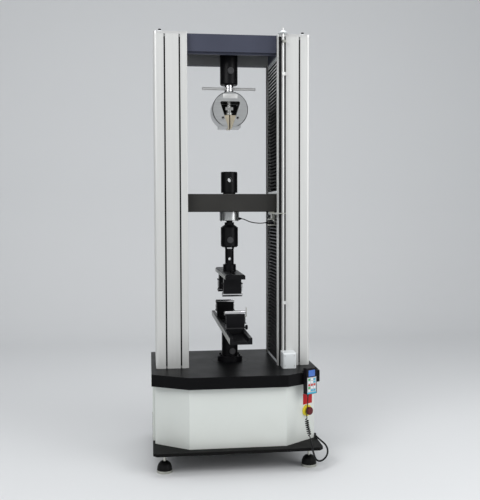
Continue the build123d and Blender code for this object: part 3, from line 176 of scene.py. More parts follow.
M = {
    # The white paint turns darker and warmer in patches towards the bottom, from about 0.3 m down
    "white": material(
        "white_paint", (0.66, 0.69, 0.66), rough=0.42, var=0.03, scale=6, rough_var=0.06,
        bump=0.10, grain=700, coat=0.15, coat_rough=0.25,
        height_tint=((0.42, 0.41, 0.36), 0.11, 0.30, 0.35)),
    "table": material(
        "table_paint", (0.002, 0.002, 0.0025), rough=0.40, var=0.25, scale=9, rough_var=0.08,
        bump=0.06, grain=500, specular=0.10),
    "plate": material(
        "plate_paint", (0.005, 0.005, 0.005), rough=0.50, var=0.25, scale=8, rough_var=0.1,
        bump=0.10, grain=450, specular=0.07),
    # Painted light: light grey for the face inside the top beam, lighter than the beam's own dark
    # paint, standing in for light reaching the beam's hollow
    "hollow_painted_light": material(
        "beam_hollow_painted_light", (0.36, 0.365, 0.37), rough=0.60, var=0.12, scale=14, rough_var=0.1,
        bump=0.12, grain=500),
    "cross": material(
        "crosshead_paint", (0.021, 0.020, 0.018), rough=0.45, var=0.15, scale=10, rough_var=0.07,
        bump=0.07, grain=600, specular=0.35),
    "beam": material(
        "beam_paint", (0.046, 0.051, 0.077), rough=0.47, var=0.12, scale=8, rough_var=0.07,
        bump=0.07, grain=600, specular=0.3),
    "column": material(
        "anodised_column", (0.635, 0.639, 0.626), rough=0.47, metal=0.40, var=0.07, scale=3,
        stretch=(90, 90, 0.6), rough_var=0.07, bump=0.10, grain=5, grain_stretch=(260, 260, 2)),
    "cap": material(
        "anodised_cap", (0.68, 0.68, 0.67), rough=0.35, metal=0.6, var=0.06, scale=40,
        stretch=(1, 12, 12), rough_var=0.08, bump=0.06, grain=60, grain_stretch=(4, 30, 30)),
    "steel": material(
        "ground_steel", (0.52, 0.52, 0.51), rough=0.28, metal=1.0, var=0.10, scale=30,
        stretch=(6, 6, 1), rough_var=0.08, bump=0.06, grain=90, grain_stretch=(4, 4, 30)),
    "turned": material(
        "turned_steel", (0.56, 0.57, 0.57), rough=0.33, metal=1.0, var=0.12, scale=14,
        stretch=(1, 1, 9), rough_var=0.10, bump=0.10, grain=8, grain_stretch=(5, 5, 160)),
    "zinc": material(
        "zinc_plate", (0.55, 0.55, 0.50), rough=0.36, metal=1.0, var=0.15, scale=60,
        rough_var=0.12, bump=0.05, grain=500),
    "chrome": material(
        "chrome", (0.74, 0.74, 0.75), rough=0.10, metal=1.0, var=0.05, scale=25, rough_var=0.05,
        bump=0.01, grain=300),
    "oxide": material(
        "black_oxide", (0.005, 0.005, 0.006), rough=0.38, var=0.3, scale=40, rough_var=0.12,
        bump=0.06, grain=700, specular=0.14),
    "pin": material(
        "dark_pin", (0.045, 0.045, 0.048), rough=0.36, metal=0.2, var=0.2, scale=60, rough_var=0.1,
        bump=0.05, grain=700),
    "jaw": material(
        "pale_brass", (0.62, 0.55, 0.42), rough=0.38, metal=0.8, var=0.12, scale=60, rough_var=0.1,
        bump=0.08, grain=400),
    "brass": material(
        "brass", (0.58, 0.43, 0.20), rough=0.36, metal=0.9, var=0.15, scale=50, rough_var=0.12,
        bump=0.08, grain=400),
    "bellows": material(
        "bellows_cloth", (0.004, 0.004, 0.0045), rough=0.50, var=0.3, scale=200, rough_var=0.1,
        bump=0.15, grain=2500, specular=0.15),
    # Painted highlight: the black pleat edges turn near white in patches from 1.78 m up, standing
    # in for light catching the upper ridges
    "ridge_high": material(
        "pleat_edge_high", (0.004, 0.004, 0.0045), rough=0.5, var=0.2, scale=200, rough_var=0.1,
        bump=0.05, grain=2500, specular=0.03, height_tint=((0.92, 0.92, 0.92), 2.08, 1.78, 2.4)),
    # Painted highlight: the lower pleat edges turn grey in patches below about 1.3 m, standing in
    # for light reaching the lower ridges
    "ridge_low": material(
        "pleat_edge_low", (0.004, 0.004, 0.0045), rough=0.5, var=0.2, scale=200, rough_var=0.1,
        bump=0.05, grain=2500, specular=0.03, height_tint=((0.30, 0.30, 0.32), 1.30, 0.84, 2.0)),
    "rod": material(
        "bright_rod", (0.66, 0.66, 0.65), rough=0.34, metal=0.45, var=0.06, scale=20,
        stretch=(8, 8, 1), rough_var=0.06, bump=0.05, grain=60, grain_stretch=(6, 6, 1)),
    "rubber": material(
        "rubber", (0.024, 0.024, 0.024), rough=0.62, var=0.25, scale=40, rough_var=0.12, bump=0.2,
        grain=1500),
    # The foot pads turn paler in patches within 20 mm of the floor
    "pad": material(
        "pad_rubber", (0.005, 0.005, 0.005), rough=0.50, var=0.25, scale=40, rough_var=0.12,
        bump=0.15, grain=900, specular=0.12, height_tint=((0.06, 0.06, 0.05), 0.0, 0.02, 0.5)),
    "plastic": material(
        "black_plastic", (0.006, 0.005, 0.007), rough=0.48, var=0.2, scale=30, rough_var=0.08,
        bump=0.22, grain=1800, specular=0.15),
    "duct": material(
        "duct_plastic", (0.006, 0.006, 0.007), rough=0.50, var=0.2, scale=30, rough_var=0.08,
        bump=0.15, grain=1200, specular=0.2),
    "whitebox": material(
        "white_plastic", (0.72, 0.75, 0.76), rough=0.38, var=0.03, scale=20, rough_var=0.05,
        bump=0.08, grain=1500),
    "screen": material(
        "screen_film", (0.050, 0.145, 0.48), rough=0.22, var=0.15, scale=60, rough_var=0.05,
        bump=0.01, grain=300, coat=0.15),
    "film": material(
        "keypad_film", (0.46, 0.48, 0.50), rough=0.50, var=0.1, scale=120, rough_var=0.06,
        bump=0.15, grain=2500),
    "cyan": material(
        "cyan_film", (0.04, 0.38, 0.55), rough=0.45, var=0.1, scale=120, rough_var=0.06, bump=0.12,
        grain=2500),
    "redkey": material(
        "red_film", (0.50, 0.04, 0.03), rough=0.45, var=0.1, scale=120, rough_var=0.06, bump=0.12,
        grain=2500),
    "greenkey": material(
        "green_film", (0.06, 0.36, 0.10), rough=0.45, var=0.1, scale=120, rough_var=0.06,
        bump=0.12, grain=2500),
    "yellow": material(
        "yellow_plastic", (0.80, 0.66, 0.03), rough=0.35, var=0.05, scale=50, rough_var=0.06,
        bump=0.06, grain=900),
    "red": material(
        "red_plastic", (0.10, 0.003, 0.006), rough=0.30, var=0.08, scale=50, rough_var=0.06,
        bump=0.05, grain=900, specular=0.3),
    "sign": material(
        "red_plate", (0.42, 0.006, 0.010), rough=0.40, var=0.06, scale=60, rough_var=0.06,
        bump=0.05, grain=900, specular=0.2),
    "cord": material(
        "cord_rubber", (0.006, 0.006, 0.007), rough=0.42, var=0.2, scale=150, rough_var=0.08,
        bump=0.08, grain=2500, specular=0.2),
    "motor": material(
        "motor_cast", (0.020, 0.020, 0.022), rough=0.55, metal=0.1, var=0.2, scale=30,
        rough_var=0.1, bump=0.25, grain=500),
}

# Graduations of the rulers, as (pitch, width) in metres
RULER_MARKS = ((0.005, 0.0012), (0.05, 0.0026))
RULER_INK = (0.07, 0.07, 0.075, 1)


def ruler_material():
    """Pale strip with fine dark marks every 5 mm and broader ones every 50 mm."""
    mat = material("ruler_strip", (0.46, 0.47, 0.45), rough=0.42, metal=0.2, var=0.05, scale=40,
                   rough_var=0.06, bump=0.05, grain=900)
    nt = mat.node_tree
    tint = nt.nodes["Principled BSDF"].inputs["Base Color"]
    base = tint.links[0].from_socket
    split = nt.nodes.new("ShaderNodeSeparateXYZ")
    coords = nt.nodes.new("ShaderNodeTexCoord").outputs["Object"]
    nt.links.new(coords, split.inputs["Vector"])
    lines = []
    for pitch, width in RULER_MARKS:
        off = add_math(nt, "PINGPONG", split.outputs["Y"], pitch / 2)
        lines.append(add_math(nt, "LESS_THAN", off, width / 2))
    nt.links.new(add_mix(nt, add_math(nt, "MAXIMUM", *lines), base, RULER_INK), tint)
    return mat


M["ruler"] = ruler_material()

NODE_MATERIAL = {
    "base_plate": "plate", "foot_pads": "pad", "foot_studs": "zinc", "front_cover": "white",
    "side_panels": "white", "rear_panel": "white", "support_pillars": "plate",
    "work_table": "table", "servo_motor": "motor", "motor_pulley": "cap", "drive_belt": "rubber",
    "bearing_housings": "steel", "control_unit": "plate", "right_ball_screw": "steel",
    "left_ball_screw": "steel", "columns": "column", "column_caps": "cap", "guide_posts": "chrome",
    "top_beam": "beam", "crosshead_beam": "cross", "ball_nuts": "steel", "guide_bushes": "brass",
    "upper_coupling": "oxide", "load_cell": "turned", "cell_cable": "cord",
    "limit_bracket": "zinc", "lower_coupling": "oxide", "coupling_pin": "pin",
    "lock_ring": "chrome", "bend_head": "oxide", "near_load_holder": "oxide",
    "far_load_holder": "oxide", "near_load_roller": "chrome", "far_load_roller": "chrome",
    "support_seat": "oxide", "support_beam": "oxide", "near_support": "oxide",
    "far_support": "oxide", "near_support_roller": "chrome", "far_support_roller": "chrome",
    "grip_adapter": "oxide", "anchor_pins": "pin", "grip_neck": "chrome", "grip_body": "turned",
    "grip_spindle": "steel", "tommy_bar": "rod", "jaw_carrier": "steel", "right_jaw": "jaw",
    "left_jaw": "jaw", "limit_rod": "rod", "limit_guides": "zinc", "switch_box": "whitebox",
    "cable_duct": "duct", "handset_body": "plastic", "handset_face": "film",
    "handset_cord": "cord", "estop_ring": "yellow", "estop_button": "red",
    "upper_bellows": "bellows", "lower_bellows": "bellows",
}
for node, key in NODE_MATERIAL.items():
    mesh = nodes[node].data
    if not mesh.materials:
        mesh.materials.append(M[key])
    for i in range(len(mesh.materials)):
        mesh.materials[i] = M[key]

# Mesh helpers, all in millimetres
SHARP_ANGLE = math.radians(32)
HEX_TURN = math.pi / 3
SIDES = (-1, 1)
FRONT, REAR, UP, DOWN = (0, -1, 0), (0, 1, 0), (0, 0, 1), (0, 0, -1)


def finish_mesh(name, bm, key, body, smooth=True):
    mesh = bpy.data.meshes.new(name)
    bmesh.ops.scale(bm, vec=(MM, MM, MM), verts=bm.verts)
    bmesh.ops.recalc_face_normals(bm, faces=bm.faces)
    bm.to_mesh(mesh)
    bm.free()
    mesh.materials.append(M[key])
    obj = bpy.data.objects.new(name, mesh)
    scene.collection.objects.link(obj)
    if smooth:
        mesh.shade_smooth()
        mesh.set_sharp_from_angle(angle=SHARP_ANGLE)
    if body:
        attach(obj, body)
    return obj


def at(x, y, z):
    return Matrix.Translation((x, y, z))


def facing(point, out, up=UP):
    """Matrix that puts local Z along out at a point."""
    z = Vector(out).normalized()
    y = Vector(up)
    y = y - z * y.dot(z)
    if y.length < 1e-6:
        y = Vector(REAR) - z * z.y
    y.normalize()
    place = Matrix((y.cross(z), y, z)).transposed().to_4x4()
    place.translation = Vector(point)
    return place


def put(bm, verts, place):
    bmesh.ops.transform(bm, matrix=place, verts=verts)


def add_box(bm, size, place, bevel, segments=2):
    verts = bmesh.ops.create_cube(bm, size=1.0)["verts"]
    bmesh.ops.scale(bm, vec=size, verts=verts)
    edges = list({e for v in verts for e in v.link_edges})
    out = bmesh.ops.bevel(bm, geom=edges, offset=bevel, segments=segments, affect="EDGES",
                          profile=0.5)
    verts = {v for f in out["faces"] for v in f.verts} | {v for v in verts if v.is_valid}
    put(bm, list(verts), place)


def skin(bm, rings, closed):
    """Faces between rings of vertices; the ends are joined if closed, else capped."""
    for low, high in zip(rings, rings[1:] + rings[:1] if closed else rings[1:]):
        for i in range(len(low)):
            j = (i + 1) % len(low)
            bm.faces.new((low[i], low[j], high[j], high[i]))
    if not closed:
        bm.faces.new(list(reversed(rings[0])))
        bm.faces.new(rings[-1])


def add_lathe(bm, profile, place, steps, shape=None, closed=False):
    """Turns (radius, height) pairs about local Z; shape(angle, radius) may change the radius."""
    rings = []
    for r, z in profile:
        ring = []
        for i in range(steps):
            a = 2 * math.pi * i / steps
            rr = shape(a, r) if shape else r
            ring.append(bm.verts.new((rr * math.cos(a), rr * math.sin(a), z)))
        rings.append(ring)
    skin(bm, rings, closed)
    put(bm, [v for ring in rings for v in ring], place)


def add_socket_screw(bm, place, r, h):
    """Cap screw with a hexagonal recess; local Z points out of the work."""
    key = r * 0.55

    def recess(a, q):
        return q if q > key + 0.1 else q / max(0.87, math.cos(a % HEX_TURN - HEX_TURN / 2))

    profile = [(r, 0), (r, h - 0.7), (r - 0.7, h), (key + 0.5, h), (key, h - 0.4), (key, h - 2.4)]
    add_lathe(bm, profile, place, 24, recess)


def add_tube(bm, path, radius, sides):
    """Round tube along a list of vectors, with frames carried along the path."""
    tangents = []
    for i in range(len(path)):
        a, b = path[max(0, i - 1)], path[min(len(path) - 1, i + 1)]
        tangents.append((b - a).normalized())
    normal = tangents[0].orthogonal().normalized()
    rings = []
    for p, t in zip(path, tangents):
        normal = (normal - t * normal.dot(t)).normalized()
        side = t.cross(normal)
        ring = []
        for k in range(sides):
            a = 2 * math.pi * k / sides
            ring.append(bm.verts.new(p + (normal * math.cos(a) + side * math.sin(a)) * radius))
        rings.append(ring)
    skin(bm, rings, False)


def helix(start, end, radius, turns, per_turn):
    a, b = Vector(start), Vector(end)
    axis = (b - a).normalized()
    u = axis.orthogonal().normalized()
    v = axis.cross(u)
    count = turns * per_turn
    out = []
    for i in range(count + 1):
        t = i / count
        ang = 2 * math.pi * turns * t
        out.append(a.lerp(b, t) + (u * math.cos(ang) + v * math.sin(ang)) * radius)
    return out


# One piece each of boxes (size, place, bevel), turned shapes (arguments of add_lathe),
# a tube, or cap screws (point, direction)
def boxes(name, parts, key, body, segments=2):
    bm = bmesh.new()
    for size, place, bevel in parts:
        add_box(bm, size, place, bevel, segments)
    return finish_mesh(name, bm, key, body)


def lathes(name, parts, key, body):
    bm = bmesh.new()
    for part in parts:
        add_lathe(bm, *part)
    return finish_mesh(name, bm, key, body)


def tube(name, path, radius, sides, body):
    bm = bmesh.new()
    add_tube(bm, path, radius, sides)
    return finish_mesh(name, bm, "cord", body)


def screws(name, spots, key, body, r, h):
    bm = bmesh.new()
    for point, out in spots:
        add_socket_screw(bm, facing(point, out), r, h)
    finish_mesh(name, bm, key, body)


# Cords: each follows the points of its route's spline, in metres; the handset's is wound round
# its route in the middle, and its tail has a sleeve
CORD_ROUTE = [
    (0.346, -0.3654, 0.366), (0.346, -0.3654, 0.344), (0.342, -0.376, 0.314),
    (0.336, -0.390, 0.285), (0.333, -0.400, 0.263), (0.332, -0.408, 0.231), (0.337, -0.416, 0.203),
    (0.344, -0.425, 0.166), (0.351, -0.434, 0.132), (0.357, -0.437, 0.100), (0.365, -0.436, 0.072),
    (0.379, -0.431, 0.052), (0.400, -0.420, 0.046), (0.424, -0.402, 0.052), (0.443, -0.378, 0.066),
    (0.450, -0.350, 0.083), (0.445, -0.323, 0.097), (0.430, -0.303, 0.108), (0.417, -0.287, 0.118),
    (0.409, -0.271, 0.124), (0.409, -0.255, 0.124)]
COIL_FROM, COIL_TO = (333, -400, 263), (344, -425, 166)
CORD_R, COIL_R, COIL_TURNS, COIL_STEPS = 2.4, 10.5, 9, 20
COIL_EASE, COIL_SLOW = 0.2, 0.25
SLEEVE_R, SLEEVE_INSET = 4.5, 4
CABLE_ROUTE = [
    (0.0515, 0, 1.224), (0.069, 0, 1.224), (0.087, -0.008, 1.217), (0.104, -0.022, 1.208),
    (0.130, -0.042, 1.202), (0.160, -0.058, 1.200), (0.180, -0.064, 1.203), (0.196, -0.064, 1.203)]
CABLE_R = 2.6
CORD_SIDES, SLEEVE_SIDES = 10, 12


def spline_points(name, points):
    curve = bpy.data.curves.new(name, "CURVE")
    curve.dimensions = "3D"
    curve.resolution_u = 14
    spline = curve.splines.new("NURBS")
    spline.points.add(len(points) - 1)
    for p, co in zip(spline.points, points):
        p.co = (*co, 1)
    spline.order_u = 3
    spline.use_endpoint_u = True
    obj = bpy.data.objects.new(name, curve)
    scene.collection.objects.link(obj)
    bpy.context.view_layer.update()
    mesh = bpy.data.meshes.new_from_object(obj)
    found = [v.co / MM for v in mesh.vertices]
    bpy.data.objects.remove(obj)
    bpy.data.meshes.remove(mesh)
    return found


def wind(core):
    """Helix round a run of points, which opens and turns slowly at its ends."""
    lengths = [0.0]
    for a, b in zip(core, core[1:]):
        lengths.append(lengths[-1] + (b - a).length)
    count = COIL_TURNS * COIL_STEPS
    opens, turned = [], [0.0]
    for i in range(count + 1):
        part = min(1.0, i / count / COIL_EASE, (1 - i / count) / COIL_EASE)
        opens.append(part * part * (3 - 2 * part))
        turned.append(turned[-1] + COIL_SLOW + (1 - COIL_SLOW) * opens[-1] ** 2)
    wound = []
    normal = Vector((1, 0, 0))
    k = 0
    for i in range(count + 1):
        s = i / count * lengths[-1]
        while k < len(core) - 2 and lengths[k + 1] < s:
            k += 1
        f = (s - lengths[k]) / (lengths[k + 1] - lengths[k])
        tangent = (core[k + 1] - core[k]).normalized()
        normal = (normal - tangent * normal.dot(tangent)).normalized()
        side = tangent.cross(normal)
        ang = 2 * math.pi * COIL_TURNS * turned[i] / turned[count]
        out = normal * math.cos(ang) + side * math.sin(ang)
        wound.append(core[k].lerp(core[k + 1], f) + out * (COIL_R - CORD_R) * opens[i])
    return wound


def nearest(line, point):
    return min(range(len(line)), key=lambda i: (line[i] - Vector(point)).length)


def handset_cord():
    line = spline_points("cord_route", CORD_ROUTE)
    i0, i1 = nearest(line, COIL_FROM), nearest(line, COIL_TO)
    path = line[:i0] + wind(line[i0:i1 + 1]) + line[i1 + 1:]
    cord = tube("handset_curly_cord", path, CORD_R, CORD_SIDES, "frame")
    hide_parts("handset_cord")
    grip_r = 6.6
    nut = [(7.4, 0), (7.4, 2.5), (grip_r, 3), (grip_r, 7), (7.1, 7.5), (7.1, 13.5), (6, 15.5),
           (4, 16)]
    boot = [(5.4, 0), (5.4, 12), (4.7, 13), (4.7, 15), (4.1, 15.5), (4.1, 17.5), (3.5, 18),
            (3.5, 20), (2.8, 24)]
    relief = [(6.5, 0), (6.5, 2), (5.2, 4), (3.6, 14), (2.9, 16)]
    plug = lathes("cord_elbow_plug", [
        (nut, facing((400, -238, 124), (1, 0, 0)), 32,
         lambda a, q: q + 0.25 * math.cos(16 * a) if q == grip_r else q),
        (boot, facing((409, -238, 124), FRONT), 24)], "plastic", "frame")
    lathes("handset_strain_relief", [(relief, facing((346, -365.4, 366), DOWN, REAR), 20)],
           "rubber", "frame")
    tail = line[i1 + SLEEVE_INSET:-SLEEVE_INSET]
    sleeve = tube("cord_tail_sleeve", tail, SLEEVE_R, SLEEVE_SIDES, "frame")


def cell_cable():
    path = spline_points("cable_route", CABLE_ROUTE)
    cable = tube("load_cell_cable", path, CABLE_R, CORD_SIDES, "crosshead")
    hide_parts("cell_cable")
    cell_end = [(7.5, -1), (7.5, 3), (6, 4), (6, 8), (4.4, 9), (3.2, 15)]
    bracket_end = [(7.4, 0), (7.4, 5), (6, 6), (5, 9), (3.2, 14)]
    lathes("cell_cable_glands", [(cell_end, facing((51.5, 0, 1224), (1, 0, 0)), 24),
                                 (bracket_end, facing((197, -64, 1203), (-1, 0, 0)), 24)],
           "plastic", "crosshead")


handset_cord()
cell_cable()

# Bellows: soft pleats with a flat band and, at each ridge, an edge strip with a painted highlight
# (near white towards the top, grey low down), stretched between the frame and the crosshead
FOLD = (0.0, 0.0, 0.0, 0.38, 0.76, 1.0, 0.66, 0.33)
PLEAT_IN, PLEAT_OUT, PLEAT_HALF, PLEAT_WALL = 234.5, 251.6, 149.5, 1.2
PLEAT_PITCH, PLEAT_HEM = 18.0, 5
EDGE_SIZE, EDGE_OUT = (2.7, 2 * PLEAT_HALF - 4, 4.6), 0.95


def bellows(name, node, fixed_z, moving_z, edge):
    pleats, per = round(abs(fixed_z - moving_z) / PLEAT_PITCH), len(FOLD)
    step = (moving_z - fixed_z) / (pleats * per)
    across = (-PLEAT_HALF, PLEAT_HEM - PLEAT_HALF, 0, PLEAT_HALF - PLEAT_HEM, PLEAT_HALF)
    bm = bmesh.new()
    for sx in SIDES:
        rows = []
        for i in range(pleats * per + 1):
            x = sx * (PLEAT_IN + (PLEAT_OUT - PLEAT_IN) * FOLD[i % per])
            rows.append([bm.verts.new((x, sx * y, fixed_z + step * i)) for y in across])
        for a, b in zip(rows, rows[1:]):
            for j in range(len(a) - 1):
                bm.faces.new((a[j], a[j + 1], b[j + 1], b[j]))
    bm.normal_update()
    bmesh.ops.solidify(bm, geom=bm.faces[:], thickness=math.copysign(PLEAT_WALL, step))
    obj = finish_mesh(name, bm, "bellows", None)
    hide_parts(node)
    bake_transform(obj)
    # Edge strips in the ridge materials, which paint the ridges' highlights
    edges = [(EDGE_SIZE, at(sx * (PLEAT_IN - EDGE_OUT), 0, fixed_z + step * (i * per + 1)), 0.3)
             for sx in SIDES for i in range(pleats)]
    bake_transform(boxes(name + "_edges", edges, edge, None, 1))


bellows("upper_pleats", "upper_bellows", 2052.5, 1353.0, "ridge_high")
bellows("lower_pleats", "lower_bellows", 472.5, 1259.0, "ridge_low")


def bellows_clamps(name, body, levels):
    """Pale strips that hold the bellows' ends, each with a row of small screws."""
    head = [(3.2, 0), (3.2, 0.8), (2.4, 1.5), (0.8, 1.7)]
    bm = bmesh.new()
    for sx in SIDES:
        for z in levels:
            add_box(bm, (1.8, 288, 14), at(sx * 232.8, 0, z), 0.4)
            for y in (-120, -60, 0, 60, 120):
                add_lathe(bm, head, facing((sx * 231.9, y, z), (-sx, 0, 0)), 16)
    finish_mesh(name, bm, "whitebox", body)


bellows_clamps("frame_bellows_clamps", "frame", (480, 2045))
bellows_clamps("crosshead_bellows_clamps", "crosshead", (1252, 1360))

# Tops of the columns: screws on pale cone washers, and the limit rod's bush
COLUMN_TOP, TABLE_TOP = 2151, 472
CAP_HOLES = [(sx * 361, y) for sx in SIDES for y in (-150, 150)]
WASHER = [(18, 0), (18, 1.5), (11, 8), (8, 8.4)]
BUSH = [(5.2, 0), (20, 0), (20, 2.5), (8, 13), (5.2, 13)]


def bush_shape(a, q):
    return q if q < 9 else q * (1 + 1.2 * max(0.0, math.sin(a)) ** 2)


screws("cap_screws", [((x, y, COLUMN_TOP + 8), UP) for x, y in CAP_HOLES], "oxide", "frame", 7, 9)
lathes("cap_cone_washers", [(WASHER, at(x, y, COLUMN_TOP), 32) for x, y in CAP_HOLES],
       "whitebox", "frame")
lathes("limit_rod_top_bush", [(BUSH, at(252, -203, COLUMN_TOP), 48, bush_shape, True)],
       "whitebox", "frame")

# Fine seam of the round insert under the seat, black strips on the columns' rear inner edges
# behind the bellows, and painted shade: dark strips set back in the columns' grooves
SEAM = [(96.2, -0.3), (97.8, -0.3), (97.8, 0.25), (96.2, 0.25)]
lathes("table_insert_seam", [(SEAM, at(0, 0, TABLE_TOP), 72, None, True)],
       "plate", "frame")
boxes("column_edge_seals", [((0.8, 36, 1578), at(sx * 226.7, 170, 1262.5), 0.2) for sx in SIDES],
      "bellows", "frame", 1)
boxes("groove_painted_shade", [((7.4, 1.5, 1640), at(x, y, 1305), 0.3)
                        for x in (-339, -265, 265, 339) for y in (-182, 182)],
      "duct", "frame", 1)


# Screws
def circle(radius, degrees, z):
    return [(radius * math.cos(a), radius * math.sin(a), z) for a in map(math.radians, degrees)]


CELL_ANGLES = (15, 75, 105, 165, 195, 255, 285, 345)
screws("seat_screws", [(p, UP) for p in circle(55, range(30, 390, 60), 498)],
       "oxide", "frame", 6.5, 7)
screws("cell_screws", [(p, DOWN) for p in circle(45.8, CELL_ANGLES, 1214)],
       "oxide", "crosshead", 3.2, 2.6)
screws("grip_face_screws", [((sx * 38, -66, 1746), FRONT) for sx in SIDES],
       "chrome", "frame", 9, 2.0)
screws("grip_back_screws", [((sx * 38, 66, 1746), REAR) for sx in SIDES],
       "chrome", "frame", 9, 2.0)
screws("box_screws", [((275 + sx * 23, -262, 511 + sz * 25), FRONT)
                      for sx in SIDES for sz in SIDES], "zinc", "frame", 2.6, 1.6)
screws("head_end_screws", [((sx * 32, sy * 270, 936), (0, sy, 0)) for sx in SIDES for sy in SIDES],
       "oxide", "crosshead", 6, 2.5)


def grip_window_painted_shade():
    """Painted shade: a dark plate against the closed back of the grip's window, standing in for the
    shadow inside it.
    """
    low, high, front_y, back_y = 1706.0, 1829.0, 50.4, 51.8
    outline = [(-13, low), (13, low), (51, high - 9), (45, high), (-45, high), (-51, high - 9)]
    bm = bmesh.new()
    skin(bm, [[bm.verts.new((x, y, z)) for x, z in outline] for y in (front_y, back_y)], False)
    finish_mesh("grip_window_shade_plate", bm, "duct", "frame", smooth=False)


grip_window_painted_shade()
SIDE_SCREWS = [((sx * 411, y, z), (sx, 0, 0)) for sx in SIDES for y in (-196, 20, 236)
               for z in (134, 392)]
REAR_SCREWS = [((x, 265, z), REAR) for x in (-372, -190, 0, 190, 372) for z in (132, 398)]
screws("panel_screws", SIDE_SCREWS + REAR_SCREWS, "zinc", "frame", 5.0, 3.0)

# Bending fixture: ends and return springs of the rollers, end stop, clamp knobs
SPRING_R, SPRING_TURNS, SPRING_STEPS, SPRING_WIRE, WIRE_SIDES = 2.6, 9, 12, 0.6, 6
SPRING_PIN = [(2.0, 0), (2.0, 6.5), (3.4, 6.6), (3.4, 8)]
ROLLER_END = [(11.2, 0), (10.4, 0.6), (4.4, 0.6), (4.2, 0.9), (4.2, 2.4), (3.6, 3)]
KNOB = [(3.5, -1), (3.5, 5), (10, 6), (11.5, 7.5), (11.5, 15), (10, 17), (4, 17.4)]
LOAD_Y, LOAD_Z, REST_Y, REST_Z = 125, 837, 250, 756


def springs(tag, body, face_x, y, z, lean):
    """Return springs that hold a roller's end pins against its block."""
    bm = bmesh.new()
    for sx in SIDES:
        x = sx * (face_x + 3.4)
        coil = helix((x, y, z), (x, y + lean[0], z + lean[1]), SPRING_R, SPRING_TURNS, SPRING_STEPS)
        add_tube(bm, coil, SPRING_WIRE, WIRE_SIDES)
        pin_at = (sx * face_x, y + lean[0], z + lean[1])
        add_lathe(bm, SPRING_PIN, facing(pin_at, (sx, 0, 0)), 16)
    finish_mesh(tag + "_springs", bm, "oxide", body)


def roller_ends(tag, body, y, z):
    lathes(tag + "_ends", [(ROLLER_END, facing((sx * 51, y, z), (sx, 0, 0)), 24) for sx in SIDES],
           "steel", body)


for side, sy in (("near", -1), ("far", 1)):
    roller_ends(side + "_load", side + "_load_roll", sy * LOAD_Y, LOAD_Z)
    roller_ends(side + "_rest", side + "_rest_roll", sy * REST_Y, REST_Z)
    for tag, dy in (("a", 6), ("b", -6)):
        springs(side + "_load_" + tag, side + "_load_block", 45, sy * LOAD_Y + dy, LOAD_Z + 14,
                (dy * 1.5, 42))
        springs(side + "_rest_" + tag, side + "_rest", 46, sy * REST_Y + dy, REST_Z - 14,
                (dy * 1.2, -36))
boxes("near_rest_end_stop", [((3, 16, 46), at(56.5, -REST_Y, 761), 0.8),
                             ((11, 16, 4), at(51, -REST_Y, 738), 0.8)], "zinc", "near_rest")


def knob_shape(a, q):
    return q if q < 9 else q + 0.7 * math.cos(12 * a)


for side, sy in (("near", -1), ("far", 1)):
    place = facing((46, sy * REST_Y, 684), (1, 0, 0))
    lathes(side + "_rest_knob", [(KNOB, place, 48, knob_shape)],
           "plastic", side + "_rest")

# Rulers on the bending fixture, the face inside the top beam, the grip's bare pad, the black
# connectors between the two trays of the crosshead's bracket, and the rims of the foot pads
boxes("beam_ruler", [((1.4, 984, 26), at(-53.7, 0, 656.5), 0.4)], "ruler", "frame")
boxes("head_ruler", [((1.4, 532, 16.5), at(-50.7, 0, 934), 0.4)], "ruler", "crosshead")
# Painted light: the face inside the top beam is light grey, not the beam's dark paint, standing in
# for the light in the beam's hollow
boxes("beam_inner_face", [((452, 1.0, 57), at(0, 159.3, 2082.5), 0.4)],
      "hollow_painted_light", "frame")
boxes("grip_pad", [((74, 1.2, 23), at(0, -66.5, 1856.5), 0.4)], "cap", "frame")
CONNECTOR = (((22, 8, 15), 213, 1.2), ((6, 6, 11), 200, 0.8))
boxes("bracket_connectors", [(size, at(x, y, 1203), bevel)
                             for y in (-79, -49) for size, x, bevel in CONNECTOR],
      "plastic", "crosshead")
PAD_RIM = [(37.2, 0.2), (38.0, 0.9), (38.0, 11.6), (37.2, 12.4)]
lathes("foot_pad_rims", [(PAD_RIM, at(x, y, 0), 48) for x in (-357, 357) for y in (-340, 235)],
       "zinc", "frame")


# Handset face, on the table's cut corner
def corner(run, back):
    """Directions along and out of a face that runs right and back."""
    x, y = run / math.hypot(run, back), back / math.hypot(run, back)
    return Vector((x, y, 0)), Vector((y, -x, 0))


ALONG, OUT = corner(177, 99)
HANDSET_AT = Vector((240, -412, 430.5)) + ALONG * 128
KEY_SIZE, KEY_STEP, KEY_DROP, KEY_TOP = (12.6, 9.2, 1.2), 17, 13.5, 8.5
KEYS = (("greenkey", "whitebox", "cyan"), ("whitebox", "whitebox", "cyan"),
        ("redkey", "redkey", "redkey"), ("greenkey", "whitebox", "whitebox"),
        ("whitebox", "cyan", "cyan"))


def on_handset(x, z, depth):
    return facing(HANDSET_AT + ALONG * x + Vector((0, 0, z)) + OUT * depth, OUT)


def handset():
    display = boxes("handset_display", [((41, 31, 1.4), on_handset(0, 38.5, 24.7), 0.5)],
                    "screen", "frame")
    boxes("handset_overlay", [((58, 78, 0.8), on_handset(0, -20, 25.3), 0.3)],
          "film", "frame")
    boxes("handset_strip", [((58, 8, 1.2), on_handset(0, -58.5, 25.5), 0.4)],
          "cyan", "frame")
    for key in ("cyan", "redkey", "greenkey", "whitebox"):
        caps = [(KEY_SIZE, on_handset((col - 1) * KEY_STEP, KEY_TOP - row * KEY_DROP, 26.1), 0.5)
                for row in range(5) for col in range(3) if KEYS[row][col] == key]
        boxes("handset_keys_" + key, caps, key, "frame")
    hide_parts("handset_face")


handset()

